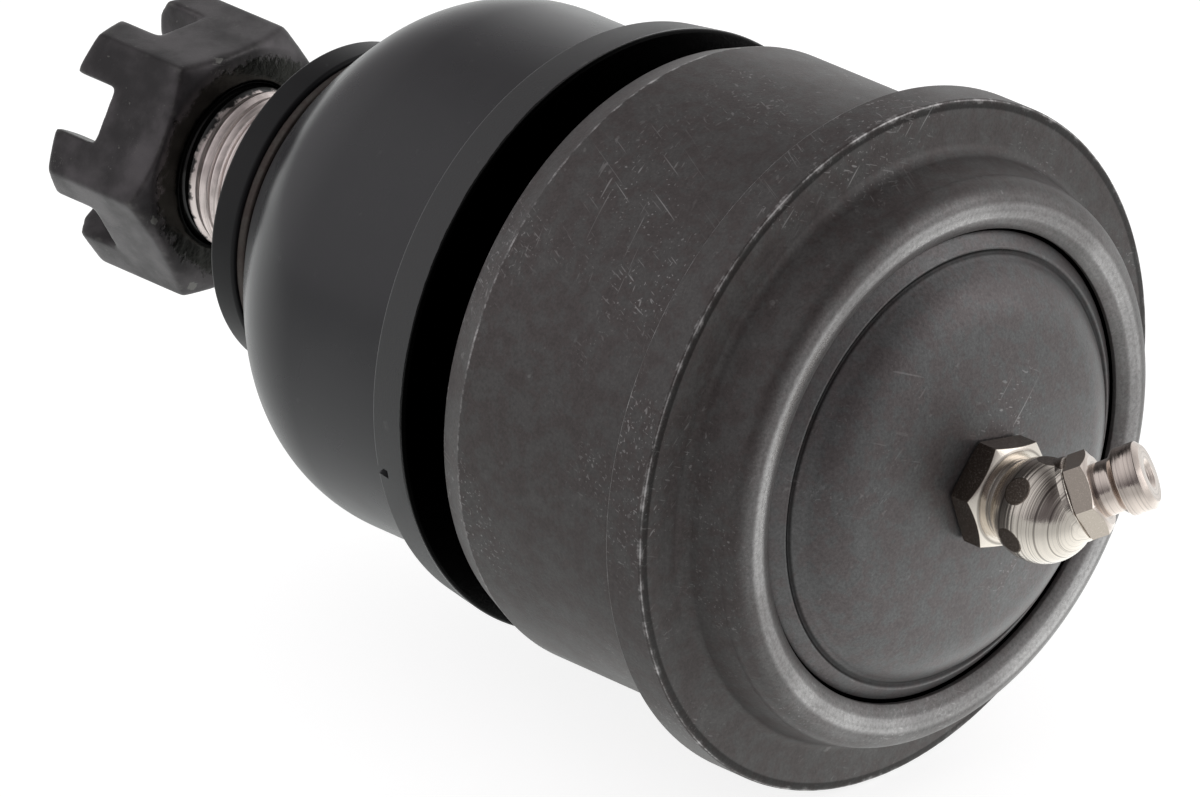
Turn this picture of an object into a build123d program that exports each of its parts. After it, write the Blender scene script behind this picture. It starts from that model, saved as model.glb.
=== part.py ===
from build123d import *
import os
from math import acos, asin, cos, radians, sin, sqrt, tan

# Press-in suspension ball joint, lying on its side.
# The origin is the centre of the ball. +X runs along the axis from the stud
# end to the cover end, +Z is up. All sizes are millimetres.

# ---------------------------------------------------------------- housing
FLANGE_RADIUS = 33.35
FLANGE_THICKNESS = 4.35
FLANGE_FACE_X = 12.0
FLANGE_FACE_RISE = 0.7
BODY_RADIUS = 30.16
BODY_LENGTH = 25.2
BODY_CHAMFER_LENGTH = 2.95
BODY_CHAMFER_DEPTH = 1.1
NECK_LENGTH = 9.05
NECK_RADIUS = 24.4
NECK_CHAMFER = 0.6
BORE_RADIUS = 23.0
MOUTH_CLEARANCE = 0.5

# ------------------------------------------------- rolled lip and cover
LIP_WALL = 3.55
LIP_ROLL_RADIUS = 2.5
LIP_ROLL_TURN = 90.0
LIP_COVERAGE = 1.13
LIP_EDGE_RISE = 1.15
LIP_EDGE_DROP = 0.75
LIP_EDGE_THICKNESS = 0.45
LIP_ROOT_FILLET = 1.9
LIP_ROOT_WIDTH = 0.95
COVER_SEAT_RISE = 2.4
COVER_LEDGE = 1.0
COVER_FIT = 0.05
COVER_RIM_THICKNESS = 2.45
COVER_EDGE_GAP = 0.35
COVER_RIM_SHOW = 1.67
COVER_STEP_RISE = 1.75
COVER_CREASE_WIDTH = 0.7
COVER_CREASE_DEPTH = 0.15
COVER_DOME_RISE = 5.4
COVER_CROWN_SLOPE = 13.0
COVER_EDGE_SLOPE = 57.0
COVER_POCKET_DEPTH = 2.8

# ------------------------------------------------------ ball and bearings
BALL_RADIUS = 17.46
BALL_FLAT_DROP = 1.5
BALL_DIMPLE_RADIUS = 2.0
BALL_DIMPLE_DEPTH = 1.2
RUNNING_FIT = 0.05
TILT_LIMIT = 20.0
SEAT_MOUTH_MARGIN = 1.5
SEAT_FLOOR = 2.15
SEAT_TOP_X = -0.6
BEARING_LOW_X = 1.2
BEARING_LAND = 2.16
BEARING_CHAMFER = 0.8
SPRING_INNER_RADIUS = 7.5
SPRING_OUTER_RADIUS = 18.5
SPRING_THICKNESS = 1.4
SPRING_HEIGHT = 3.2
SPRING_CLEARANCE = 0.5

# ------------------------------------------------------------- ball stud
STUD_NECK_RADIUS = 8.6
STUD_NECK_FLARE = 1.4
TAPER_LARGE_RADIUS = 10.05
TAPER_START_X = -26.0
TAPER_LENGTH = 28.0
TAPER_HALF_ANGLE = 3.576
THREAD_RADIUS = 7.9375
THREAD_RUNOUT = 0.6
THREAD_LENGTH = 27.4
STUD_END_CHAMFER = 1.2
COTTER_HOLE_RADIUS = 1.95
COTTER_HOLE_INSET = 4.6

# ----------------------------------------------------------- slotted nut
NUT_ACROSS_FLATS = 23.8125
NUT_ENGAGEMENT = 8.0
NUT_HEIGHT = 14.4
NUT_SLOT_WIDTH = 5.6
NUT_SLOT_DEPTH = 6.1
NUT_THREAD_FIT = 0.02
HEX_SIDES = 6
HEX_CHAMFER_ANGLE = 30.0
NUT_FACE_RADIUS = 11.6
NUT_CROWN_RADIUS = 10.5
NUT_COUNTERSINK = 1.3

# -------------------------------------------------------------- dust boot
RING_GAP = 4.85
RING_LENGTH = 4.8
RING_THICKNESS = 5.04
RING_EDGE_TAPER = 0.7
RING_LIP = 0.6
RING_FIT = 0.05
INSERT_THICKNESS = 0.9
BOOT_OVERHANG = 1.7
BOOT_WALL = 1.8
BOOT_STRAIGHT_LENGTH = 13.75
BOOT_SHOULDER_RADIUS = 14.5
BOOT_SHOULDER_TURN = 40.0
BOOT_NOSE_RADIUS = 60.0
BOOT_TAPER_GAP = 3.45
BOOT_NECK_THICKNESS = 2.0
BOOT_GAP = 0.05
COLLAR_RADIUS = 16.2
COLLAR_THICKNESS = 3.2
COLLAR_EDGE_CHAMFER = 0.4
HUB_RADIUS = 11.5
HUB_INSET = 1.5
NECK_RING_INSET = 0.3
NECK_RING_THICKNESS = 1.1
NECK_RING_CHAMFER = 0.3

# --------------------------------------------------------- grease fitting
FITTING_THREAD_RADIUS = 3.175
FITTING_THREAD_LENGTH = 5.6
FITTING_FIT = 0.03
FITTING_HEX = 9.525
FITTING_HEX_THICKNESS = 2.7
FITTING_HEX_TURN = -11.6
FITTING_HEX_LAND_RADIUS = 4.45
FITTING_HEX_BACK_RADIUS = 5.2
FITTING_STAND_OFF = 0.1
FITTING_NECK_RADIUS = 3.7
FITTING_BALL_RADIUS = 4.92
FITTING_BALL_RISE = 6.6
FITTING_BOSS_RADIUS = 4.05
FITTING_BOSS_END = 3.5
FITTING_BORE_RADIUS = 1.1
NIPPLE_LEAN = 45.0
NIPPLE_TURN = 34.5
NIPPLE_STEM_RADIUS = 2.4
NIPPLE_STEM_LENGTH = 2.0
NIPPLE_HEX = 7.14
NIPPLE_HEX_THICKNESS = 2.2
NIPPLE_HEX_LAND_RADIUS = 3.3
NIPPLE_HEX_BACK_RADIUS = 3.85
NIPPLE_NECK_RADIUS = 2.55
NIPPLE_NECK_LENGTH = 1.55
NIPPLE_HEAD_RADIUS = 3.25
NIPPLE_HEAD_SLOPE = 0.65
NIPPLE_HEAD_LENGTH = 1.45
NIPPLE_TIP_LENGTH = 1.11
NIPPLE_FACE_RADIUS = 2.3
NIPPLE_BORE_RADIUS = 1.35
NIPPLE_PORT_RADIUS = 0.85
NIPPLE_PORT_DEPTH = 0.9
NIPPLE_CONE_ANGLE = 45.0
CHECK_BALL_RADIUS = 1.2
CHECK_BALL_GAP = 0.02
CHECK_WIRE_RADIUS = 0.18
CHECK_SPRING_PITCH = 0.95
CHECK_SPRING_SEAT = 0.3

# --------------------------------------------------------- derived values
# Housing, lip and cover, from the flange outwards.
flange_back_x = FLANGE_FACE_X - FLANGE_THICKNESS
body_end_x = flange_back_x - BODY_LENGTH
neck_end_x = body_end_x - NECK_LENGTH
cover_seat_x = FLANGE_FACE_X + COVER_SEAT_RISE
cover_radius = BORE_RADIUS + COVER_LEDGE
lip_under_x = cover_seat_x + COVER_RIM_THICKNESS + COVER_FIT
lip_outer_radius = cover_radius + LIP_WALL
lip_edge_radius = cover_radius - LIP_COVERAGE
lip_edge_x = lip_under_x + LIP_EDGE_RISE
lip_crest_x = lip_edge_x + LIP_EDGE_DROP
lip_centre_x = lip_crest_x - LIP_ROLL_RADIUS
lip_root = (FLANGE_FACE_X + FLANGE_FACE_RISE, lip_outer_radius + LIP_ROOT_WIDTH)
cover_step_x = cover_seat_x + COVER_RIM_THICKNESS + COVER_STEP_RISE
cover_step_radius = lip_edge_radius - COVER_RIM_SHOW
cover_dome_radius = cover_step_radius - COVER_CREASE_WIDTH
cover_apex_x = cover_step_x + COVER_DOME_RISE
cover_pocket_x = cover_seat_x + COVER_POCKET_DEPTH
cover_pocket_radius = SPRING_OUTER_RADIUS + SPRING_CLEARANCE

# The dome is a flat crown with a rounder shoulder, which meet in one slope.
crown_slope = radians(COVER_CROWN_SLOPE)
edge_slope = radians(COVER_EDGE_SLOPE)
shoulder_width = sin(edge_slope) - sin(crown_slope)
shoulder_rise = cos(crown_slope) - cos(edge_slope) - tan(crown_slope / 2) * shoulder_width
crown_rise = cover_dome_radius * tan(crown_slope / 2)
dome_shoulder_radius = (COVER_DOME_RISE - crown_rise) / shoulder_rise
dome_crown_edge = cover_dome_radius - dome_shoulder_radius * shoulder_width
dome_crown_radius = dome_crown_edge / sin(crown_slope)
dome_tangent = (sin(edge_slope), -cos(edge_slope))

# Ball and bearings, from the ball's centre.
tilt = radians(TILT_LIMIT)
seat_mouth_angle = asin(STUD_NECK_RADIUS / BALL_RADIUS) + tilt + radians(SEAT_MOUTH_MARGIN)
seat_sphere = BALL_RADIUS + RUNNING_FIT
seat_mouth = (-seat_sphere * cos(seat_mouth_angle), seat_sphere * sin(seat_mouth_angle))
seat_base_x = seat_mouth[0] - SEAT_FLOOR
seat_shoulder_x = seat_base_x - RUNNING_FIT
bearing_top_x = cover_pocket_x - SPRING_HEIGHT
bearing_mouth_x = bearing_top_x - BEARING_LAND
bearing_wall = BORE_RADIUS - RUNNING_FIT
ball_flat_x = bearing_top_x - BALL_FLAT_DROP

# Stud, nut, boot and collar, from the taper towards the nut.
taper_small_radius = TAPER_LARGE_RADIUS - TAPER_LENGTH * tan(radians(TAPER_HALF_ANGLE))
taper_end_x = TAPER_START_X - TAPER_LENGTH
stud_end_x = taper_end_x - THREAD_RUNOUT - THREAD_LENGTH
nut_face_x = stud_end_x + NUT_ENGAGEMENT
nut_crown_x = nut_face_x - NUT_HEIGHT
ring_start_x = body_end_x - RING_GAP
ring_end_x = ring_start_x - RING_LENGTH
ring_radius = NECK_RADIUS + RING_THICKNESS
ring_bore = NECK_RADIUS + RING_FIT
ring_groove = ring_bore + INSERT_THICKNESS
boot_radius = NECK_RADIUS + BOOT_OVERHANG
boot_foot_x = ring_end_x - BOOT_GAP
boot_end_x = taper_end_x - BOOT_TAPER_GAP
neck_ring_x = boot_end_x - BOOT_GAP
collar_x = neck_ring_x - NECK_RING_THICKNESS
collar_end_x = collar_x - COLLAR_THICKNESS
neck_ring_radius = COLLAR_RADIUS - NECK_RING_INSET
collar_bore_radius = THREAD_RADIUS + RUNNING_FIT

# Grease fitting, from the top of the cover plate.
fitting_base_x = cover_apex_x + FITTING_STAND_OFF
fitting_ball_x = fitting_base_x + FITTING_BALL_RISE
nipple_stem_start = FITTING_BOSS_END - NIPPLE_STEM_LENGTH
nipple_hex_end = FITTING_BOSS_END + NIPPLE_HEX_THICKNESS
nipple_neck_end = nipple_hex_end + NIPPLE_NECK_LENGTH
nipple_head_start = nipple_neck_end + NIPPLE_HEAD_SLOPE
nipple_head_crown = nipple_head_start + NIPPLE_HEAD_LENGTH
nipple_length = nipple_head_crown + NIPPLE_TIP_LENGTH


def swing_radius(x, shank_radius):
    """Reach of a tilted round shank from the axis, at the station x."""
    return -x * tan(tilt) + shank_radius / cos(tilt)


def half_chord(radius, offset):
    """Radius of the circle that a plane at an offset cuts from a ball."""
    return sqrt(radius ** 2 - offset ** 2)


def hex_corner(across_flats):
    """Centre to corner of a hexagon."""
    return across_flats / 2 / cos(radians(180 / HEX_SIDES))


os.makedirs("parts", exist_ok=True)

# ---------------------------------------------------------------- housing
# One forging: the neck that carries the boot, the press-fit body, the flange,
# and the wall that is rolled over the cover plate.
with BuildPart() as housing:
    with BuildSketch(Plane.XZ):
        with BuildLine():
            mouth_low_radius = swing_radius(seat_shoulder_x, TAPER_LARGE_RADIUS) + MOUTH_CLEARANCE
            mouth_end_radius = swing_radius(neck_end_x, TAPER_LARGE_RADIUS) + MOUTH_CLEARANCE
            roll_start = (lip_centre_x, lip_outer_radius)
            flange_face = (FLANGE_FACE_X, FLANGE_RADIUS)
            face_room = (Vector(*flange_face) - Vector(*lip_root)).length
            Line((flange_back_x, FLANGE_RADIUS), flange_face)
            FilletPolyline(flange_face, lip_root, roll_start, radius=min(LIP_ROOT_FILLET, face_room))
            roll = JernArc(roll_start, (1, 0), LIP_ROLL_RADIUS, -LIP_ROLL_TURN)
            TangentArc(roll @ 1, (lip_edge_x, lip_edge_radius), tangent=roll % 1)
            Polyline(
                (lip_edge_x, lip_edge_radius),
                (lip_edge_x - LIP_EDGE_THICKNESS, lip_edge_radius),
                (lip_under_x, cover_radius),
                (cover_seat_x, cover_radius),
                (cover_seat_x, BORE_RADIUS),
                (seat_shoulder_x, BORE_RADIUS),
                (seat_shoulder_x, mouth_low_radius),
                (neck_end_x, mouth_end_radius),
                (neck_end_x, NECK_RADIUS - NECK_CHAMFER),
                (neck_end_x + NECK_CHAMFER, NECK_RADIUS),
                (body_end_x, NECK_RADIUS),
                (body_end_x, BODY_RADIUS - BODY_CHAMFER_DEPTH),
                (body_end_x + BODY_CHAMFER_LENGTH, BODY_RADIUS),
                (flange_back_x, BODY_RADIUS),
                (flange_back_x, FLANGE_RADIUS),
            )
        make_face()
    revolve(axis=Axis.X)
housing.part.label = "housing"
export_step(housing.part, "parts/housing.step")

# ------------------------------------------------------------ cover plate
# Domed closing plate. Its rim sits on the housing's shoulder under the
# rolled lip, and its thick middle is bored for the grease fitting.
with BuildPart() as cover_plate:
    with BuildSketch(Plane.XZ):
        with BuildLine():
            dome_start = (cover_step_x, cover_dome_radius)
            dome_top = (cover_apex_x, 0)
            slope_turn = COVER_EDGE_SLOPE - COVER_CROWN_SLOPE
            shoulder = JernArc(dome_start, dome_tangent, dome_shoulder_radius, -slope_turn)
            crown_middle = dome_crown_edge / 2
            crown_middle_x = cover_apex_x - dome_crown_radius + half_chord(dome_crown_radius, crown_middle)
            ThreePointArc(shoulder @ 1, (crown_middle_x, crown_middle), dome_top)
            Polyline(
                dome_start,
                (cover_step_x - COVER_CREASE_DEPTH, (cover_dome_radius + cover_step_radius) / 2),
                (cover_step_x, cover_step_radius),
                (lip_edge_x - LIP_EDGE_THICKNESS - COVER_EDGE_GAP, lip_edge_radius),
                (cover_seat_x + COVER_RIM_THICKNESS, cover_radius - COVER_FIT),
                (cover_seat_x, cover_radius - COVER_FIT),
                (cover_seat_x, cover_pocket_radius),
                (cover_pocket_x, cover_pocket_radius),
                (cover_pocket_x, 0),
                dome_top,
            )
        make_face()
    revolve(axis=Axis.X)
    with Locations(Plane.YZ.offset(cover_apex_x)):
        Hole(FITTING_THREAD_RADIUS)
cover_plate.part.label = "cover_plate"
export_step(cover_plate.part, "parts/cover_plate.step")

# ---------------------------------------------------------------- ball seat
# Lower bearing cup. It holds the ball against the pull of the stud and is
# free to turn in the housing's bore.
with BuildPart() as ball_seat:
    with BuildSketch(Plane.XZ):
        with BuildLine():
            seat_top = (SEAT_TOP_X, half_chord(seat_sphere, SEAT_TOP_X))
            middle_angle = (seat_mouth_angle + acos(-SEAT_TOP_X / seat_sphere)) / 2
            middle = (-seat_sphere * cos(middle_angle), seat_sphere * sin(middle_angle))
            ThreePointArc(seat_mouth, middle, seat_top)
            Polyline(
                seat_top,
                (SEAT_TOP_X, bearing_wall),
                (seat_base_x, bearing_wall),
                (seat_base_x, swing_radius(seat_base_x, STUD_NECK_RADIUS) + MOUTH_CLEARANCE),
                seat_mouth,
            )
        make_face()
    revolve(axis=Axis.X)
ball_seat.part.label = "ball_seat"
export_step(ball_seat.part, "parts/ball_seat.step")

# ------------------------------------------------------------ upper bearing
# Pressure ring on the cover side of the ball, pushed down by the spring.
with BuildPart() as upper_bearing:
    with BuildSketch(Plane.XZ):
        with BuildLine():
            bearing_low = (BEARING_LOW_X, half_chord(seat_sphere, BEARING_LOW_X))
            bearing_mouth = (bearing_mouth_x, half_chord(seat_sphere, bearing_mouth_x))
            bearing_middle_x = (BEARING_LOW_X + bearing_mouth_x) / 2
            bearing_middle = (bearing_middle_x, half_chord(seat_sphere, bearing_middle_x))
            ThreePointArc(bearing_low, bearing_middle, bearing_mouth)
            Polyline(
                bearing_mouth,
                (bearing_top_x, bearing_mouth[1]),
                (bearing_top_x, bearing_wall - BEARING_CHAMFER),
                (bearing_top_x - BEARING_CHAMFER, bearing_wall),
                (BEARING_LOW_X, bearing_wall),
                bearing_low,
            )
        make_face()
    revolve(axis=Axis.X)
upper_bearing.part.label = "upper_bearing"
export_step(upper_bearing.part, "parts/upper_bearing.step")

# ----------------------------------------------------------- preload spring
# Cone washer between the pressure ring and the cover plate.
with BuildPart() as preload_spring:
    with BuildSketch(Plane.XZ):
        with BuildLine():
            Polyline(
                (bearing_top_x, SPRING_OUTER_RADIUS),
                (bearing_top_x + SPRING_THICKNESS, SPRING_OUTER_RADIUS),
                (cover_pocket_x, SPRING_INNER_RADIUS),
                (cover_pocket_x - SPRING_THICKNESS, SPRING_INNER_RADIUS),
                close=True,
            )
        make_face()
    revolve(axis=Axis.X)
preload_spring.part.label = "preload_spring"
export_step(preload_spring.part, "parts/preload_spring.step")

# ---------------------------------------------------------------- ball stud
# Ball, neck, taper and threaded end, with a cross hole for a cotter pin.
with BuildPart() as ball_stud:
    with BuildSketch(Plane.XZ):
        with BuildLine():
            neck_top = (-half_chord(BALL_RADIUS, STUD_NECK_RADIUS), STUD_NECK_RADIUS)
            flat_edge = (ball_flat_x, half_chord(BALL_RADIUS, ball_flat_x))
            ThreePointArc(neck_top, (0, BALL_RADIUS), flat_edge)
            Polyline(
                flat_edge,
                (ball_flat_x, BALL_DIMPLE_RADIUS),
                (ball_flat_x - BALL_DIMPLE_DEPTH, 0),
                (stud_end_x, 0),
                (stud_end_x, THREAD_RADIUS - STUD_END_CHAMFER),
                (stud_end_x + STUD_END_CHAMFER, THREAD_RADIUS),
                (taper_end_x - THREAD_RUNOUT, THREAD_RADIUS),
                (taper_end_x, taper_small_radius),
                (TAPER_START_X, TAPER_LARGE_RADIUS),
                (TAPER_START_X + STUD_NECK_FLARE, STUD_NECK_RADIUS),
                neck_top,
            )
        make_face()
    revolve(axis=Axis.X)
    with Locations((stud_end_x + COTTER_HOLE_INSET, 0, 0)):
        Hole(COTTER_HOLE_RADIUS)
ball_stud.part.label = "ball_stud"
export_step(ball_stud.part, "parts/ball_stud.step")


def chamfered_hexagon(start_plane, across_flats, height, low_radius, high_radius):
    """Hexagonal prism along the plane's normal, turned off conically at both ends."""
    corner = hex_corner(across_flats)
    low_drop = max(corner - low_radius, 0) * tan(radians(HEX_CHAMFER_ANGLE))
    high_drop = max(corner - high_radius, 0) * tan(radians(HEX_CHAMFER_ANGLE))
    with BuildPart(mode=Mode.PRIVATE) as blank:
        with BuildSketch(start_plane):
            RegularPolygon(corner, HEX_SIDES)
        extrude(amount=height)
        side = Plane(start_plane.origin, x_dir=start_plane.z_dir, z_dir=start_plane.x_dir)
        with BuildSketch(side):
            with BuildLine():
                Polyline(
                    (0, 0),
                    (height, 0),
                    (height, min(high_radius, corner)),
                    (height - high_drop, corner),
                    (low_drop, corner),
                    (0, min(low_radius, corner)),
                    close=True,
                )
            make_face()
        revolve(axis=Axis(start_plane.origin, start_plane.z_dir), mode=Mode.INTERSECT)
    return blank.part


# ---------------------------------------------------------------- slotted nut
# Hexagon nut with a crown of six slots, one in the middle of each flat.
nut_plane = Plane(origin=(nut_face_x, 0, 0), x_dir=(0, 1, 0), z_dir=(-1, 0, 0))
with BuildPart() as slotted_nut:
    add(chamfered_hexagon(nut_plane, NUT_ACROSS_FLATS, NUT_HEIGHT, NUT_FACE_RADIUS, NUT_CROWN_RADIUS))
    with BuildSketch(Plane.XZ):
        with BuildLine():
            bore_radius = THREAD_RADIUS + NUT_THREAD_FIT
            Polyline(
                (nut_face_x, 0),
                (nut_face_x, bore_radius + NUT_COUNTERSINK),
                (nut_face_x - NUT_COUNTERSINK, bore_radius),
                (nut_crown_x, bore_radius),
                (nut_crown_x, 0),
                close=True,
            )
        make_face()
    revolve(axis=Axis.X, mode=Mode.SUBTRACT)
    with BuildSketch(Plane.YZ.offset(nut_crown_x)):
        with PolarLocations(NUT_ACROSS_FLATS / 2, HEX_SIDES, start_angle=180 / HEX_SIDES):
            Rectangle(NUT_ACROSS_FLATS, NUT_SLOT_WIDTH)
    extrude(amount=NUT_SLOT_DEPTH, mode=Mode.SUBTRACT)
slotted_nut.part.label = "slotted_nut"
export_step(slotted_nut.part, "parts/slotted_nut.step")

# ---------------------------------------------------------- boot base ring
# Thick rubber foot of the boot, moulded over a steel band that grips the neck.
with BuildPart() as boot_base_ring:
    with BuildSketch(Plane.XZ):
        with BuildLine():
            Polyline(
                (ring_start_x, ring_bore),
                (ring_start_x, ring_radius),
                (ring_end_x, ring_radius - RING_EDGE_TAPER),
                (ring_end_x, ring_bore),
                (ring_end_x + RING_LIP, ring_bore),
                (ring_end_x + RING_LIP, ring_groove),
                (ring_start_x - RING_LIP, ring_groove),
                (ring_start_x - RING_LIP, ring_bore),
                close=True,
            )
        make_face()
    revolve(axis=Axis.X)
boot_base_ring.part.label = "boot_base_ring"
export_step(boot_base_ring.part, "parts/boot_base_ring.step")

with BuildPart() as boot_insert_band:
    with BuildSketch(Plane.XZ):
        with BuildLine():
            Polyline(
                (ring_start_x - RING_LIP, ring_bore),
                (ring_start_x - RING_LIP, ring_groove),
                (ring_end_x + RING_LIP, ring_groove),
                (ring_end_x + RING_LIP, ring_bore),
                close=True,
            )
        make_face()
    revolve(axis=Axis.X)
boot_insert_band.part.label = "boot_insert_band"
export_step(boot_insert_band.part, "parts/boot_insert_band.step")


def boot_wall_line(inset, end_x):
    """Boot outline at a depth inside the outer skin, from the foot to end_x."""
    radius = boot_radius - inset
    straight = Line((boot_foot_x, radius), (boot_foot_x - BOOT_STRAIGHT_LENGTH, radius))
    shoulder = JernArc(straight @ 1, (-1, 0), BOOT_SHOULDER_RADIUS - inset, BOOT_SHOULDER_TURN)
    nose_radius = BOOT_NOSE_RADIUS - inset
    turn = radians(BOOT_SHOULDER_TURN)
    end_turn = asin(sin(turn) + ((shoulder @ 1).X - end_x) / nose_radius)
    nose = JernArc(shoulder @ 1, shoulder % 1, nose_radius, BOOT_SHOULDER_TURN * (end_turn / turn - 1))
    return straight @ 0, nose @ 1


# ---------------------------------------------------------------- dust boot
# Smooth domed boot, closed round the stud by the collar's hub.
with BuildPart() as dust_boot:
    with BuildSketch(Plane.XZ):
        with BuildLine():
            foot_outer, tip_outer = boot_wall_line(0, boot_end_x)
            foot_inner, tip_inner = boot_wall_line(BOOT_WALL, boot_end_x + BOOT_NECK_THICKNESS)
            neck_bore = HUB_RADIUS + BOOT_GAP
            Line(foot_outer, foot_inner)
            Polyline(
                tip_outer,
                (boot_end_x, neck_bore),
                (boot_end_x + BOOT_NECK_THICKNESS, neck_bore),
                tip_inner,
            )
        make_face()
    revolve(axis=Axis.X)
dust_boot.part.label = "dust_boot"
export_step(dust_boot.part, "parts/dust_boot.step")

# -------------------------------------------------- collar and neck ring
# Sealing collar that tilts with the stud and lets the stud turn in it.
with BuildPart() as boot_collar:
    with BuildSketch(Plane.XZ):
        with BuildLine():
            hub_start_x = boot_end_x + HUB_INSET
            Polyline(
                (collar_x, HUB_RADIUS),
                (collar_x, COLLAR_RADIUS - COLLAR_EDGE_CHAMFER),
                (collar_x - COLLAR_EDGE_CHAMFER, COLLAR_RADIUS),
                (collar_end_x + COLLAR_EDGE_CHAMFER, COLLAR_RADIUS),
                (collar_end_x, COLLAR_RADIUS - COLLAR_EDGE_CHAMFER),
                (collar_end_x, collar_bore_radius),
                (hub_start_x, collar_bore_radius),
                (hub_start_x, HUB_RADIUS),
                close=True,
            )
        make_face()
    revolve(axis=Axis.X)
boot_collar.part.label = "boot_collar"
export_step(boot_collar.part, "parts/boot_collar.step")

with BuildPart() as neck_ring:
    with BuildSketch(Plane.XZ):
        with BuildLine():
            Polyline(
                (neck_ring_x, HUB_RADIUS),
                (neck_ring_x, neck_ring_radius - NECK_RING_CHAMFER),
                (neck_ring_x - NECK_RING_CHAMFER, neck_ring_radius),
                (collar_x + NECK_RING_CHAMFER, neck_ring_radius),
                (collar_x, neck_ring_radius - NECK_RING_CHAMFER),
                (collar_x, HUB_RADIUS),
                close=True,
            )
        make_face()
    revolve(axis=Axis.X)
neck_ring.part.label = "neck_ring"
export_step(neck_ring.part, "parts/neck_ring.step")

# ---------------------------------------------------------- grease fitting
# Angled fitting: threaded shank, hexagon, and a ball body left from the
# hexagon bar, so that the bar's flats show on it as small round facets.
lean = radians(NIPPLE_LEAN)
nipple_turn = radians(NIPPLE_TURN)
nipple_direction = Vector(cos(lean), sin(lean) * cos(nipple_turn), sin(lean) * sin(nipple_turn))
fitting_centre = Vector(fitting_ball_x, 0, 0)
nipple_side = Vector(1, 0, 0).cross(nipple_direction).normalized()
nipple_profile = Plane(origin=fitting_centre, x_dir=nipple_direction, z_dir=nipple_side)
nipple_axis = Axis(fitting_centre, nipple_direction)


def nipple_plane(distance):
    """Plane across the nipple at a distance from the fitting's centre."""
    return Plane(fitting_centre + nipple_direction * distance, x_dir=nipple_side, z_dir=nipple_direction)


hex_plane = Plane(
    origin=(fitting_base_x, 0, 0),
    x_dir=(0, cos(radians(FITTING_HEX_TURN)), sin(radians(FITTING_HEX_TURN))),
    z_dir=(1, 0, 0),
)
with BuildPart(mode=Mode.PRIVATE) as ball_body:
    with Locations(fitting_centre):
        Sphere(FITTING_BALL_RADIUS)
    with BuildSketch(hex_plane):
        RegularPolygon(hex_corner(FITTING_HEX), HEX_SIDES)
    extrude(amount=2 * FITTING_BALL_RISE, mode=Mode.INTERSECT)

with BuildPart() as fitting_body:
    add(
        chamfered_hexagon(
            hex_plane,
            FITTING_HEX,
            FITTING_HEX_THICKNESS,
            FITTING_HEX_BACK_RADIUS,
            FITTING_HEX_LAND_RADIUS,
        )
    )
    with BuildSketch(Plane.YZ.offset(fitting_base_x)):
        Circle(FITTING_THREAD_RADIUS - FITTING_FIT)
    extrude(amount=-FITTING_THREAD_LENGTH)
    with BuildSketch(Plane.YZ.offset(fitting_base_x)):
        Circle(FITTING_NECK_RADIUS)
    extrude(amount=FITTING_BALL_RISE)
    add(ball_body.part)
    with BuildSketch(nipple_plane(0)):
        Circle(FITTING_BOSS_RADIUS)
    extrude(amount=FITTING_BOSS_END)
    with BuildSketch(nipple_plane(FITTING_BOSS_END)):
        Circle(FITTING_BALL_RADIUS)
    extrude(amount=FITTING_BALL_RADIUS, mode=Mode.SUBTRACT)
    with BuildSketch(nipple_plane(FITTING_BOSS_END)):
        Circle(NIPPLE_STEM_RADIUS)
    extrude(amount=-NIPPLE_STEM_LENGTH, mode=Mode.SUBTRACT)
    with BuildSketch(nipple_plane(nipple_stem_start)):
        Circle(FITTING_BORE_RADIUS)
    extrude(amount=-nipple_stem_start, mode=Mode.SUBTRACT)
    with BuildSketch(Plane.YZ.offset(fitting_ball_x)):
        Circle(FITTING_BORE_RADIUS)
    extrude(amount=-FITTING_BALL_RISE - FITTING_THREAD_LENGTH, mode=Mode.SUBTRACT)
fitting_body.part.label = "fitting_body"
export_step(fitting_body.part, "parts/fitting_body.step")

# ------------------------------------------------------------ grease nipple
with BuildPart() as grease_nipple:
    add(
        chamfered_hexagon(
            nipple_plane(FITTING_BOSS_END),
            NIPPLE_HEX,
            NIPPLE_HEX_THICKNESS,
            NIPPLE_HEX_BACK_RADIUS,
            NIPPLE_HEX_LAND_RADIUS,
        )
    )
    with BuildSketch(nipple_profile):
        with BuildLine():
            Polyline(
                (nipple_stem_start, 0),
                (nipple_stem_start, NIPPLE_STEM_RADIUS),
                (FITTING_BOSS_END, NIPPLE_STEM_RADIUS),
                (FITTING_BOSS_END, NIPPLE_NECK_RADIUS),
                (nipple_neck_end, NIPPLE_NECK_RADIUS),
                (nipple_head_start, NIPPLE_HEAD_RADIUS),
                (nipple_head_crown, NIPPLE_HEAD_RADIUS),
                (nipple_length, NIPPLE_FACE_RADIUS),
                (nipple_length, 0),
                close=True,
            )
        make_face()
    revolve(axis=nipple_axis)
    with BuildSketch(nipple_profile):
        with BuildLine():
            port_start = nipple_length - NIPPLE_PORT_DEPTH
            cone_length = (NIPPLE_BORE_RADIUS - NIPPLE_PORT_RADIUS) / tan(radians(NIPPLE_CONE_ANGLE))
            Polyline(
                (nipple_stem_start, 0),
                (nipple_stem_start, NIPPLE_BORE_RADIUS),
                (port_start - cone_length, NIPPLE_BORE_RADIUS),
                (port_start, NIPPLE_PORT_RADIUS),
                (nipple_length, NIPPLE_PORT_RADIUS),
                (nipple_length, 0),
                close=True,
            )
        make_face()
    revolve(axis=nipple_axis, mode=Mode.SUBTRACT)
grease_nipple.part.label = "grease_nipple"
export_step(grease_nipple.part, "parts/grease_nipple.step")

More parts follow.
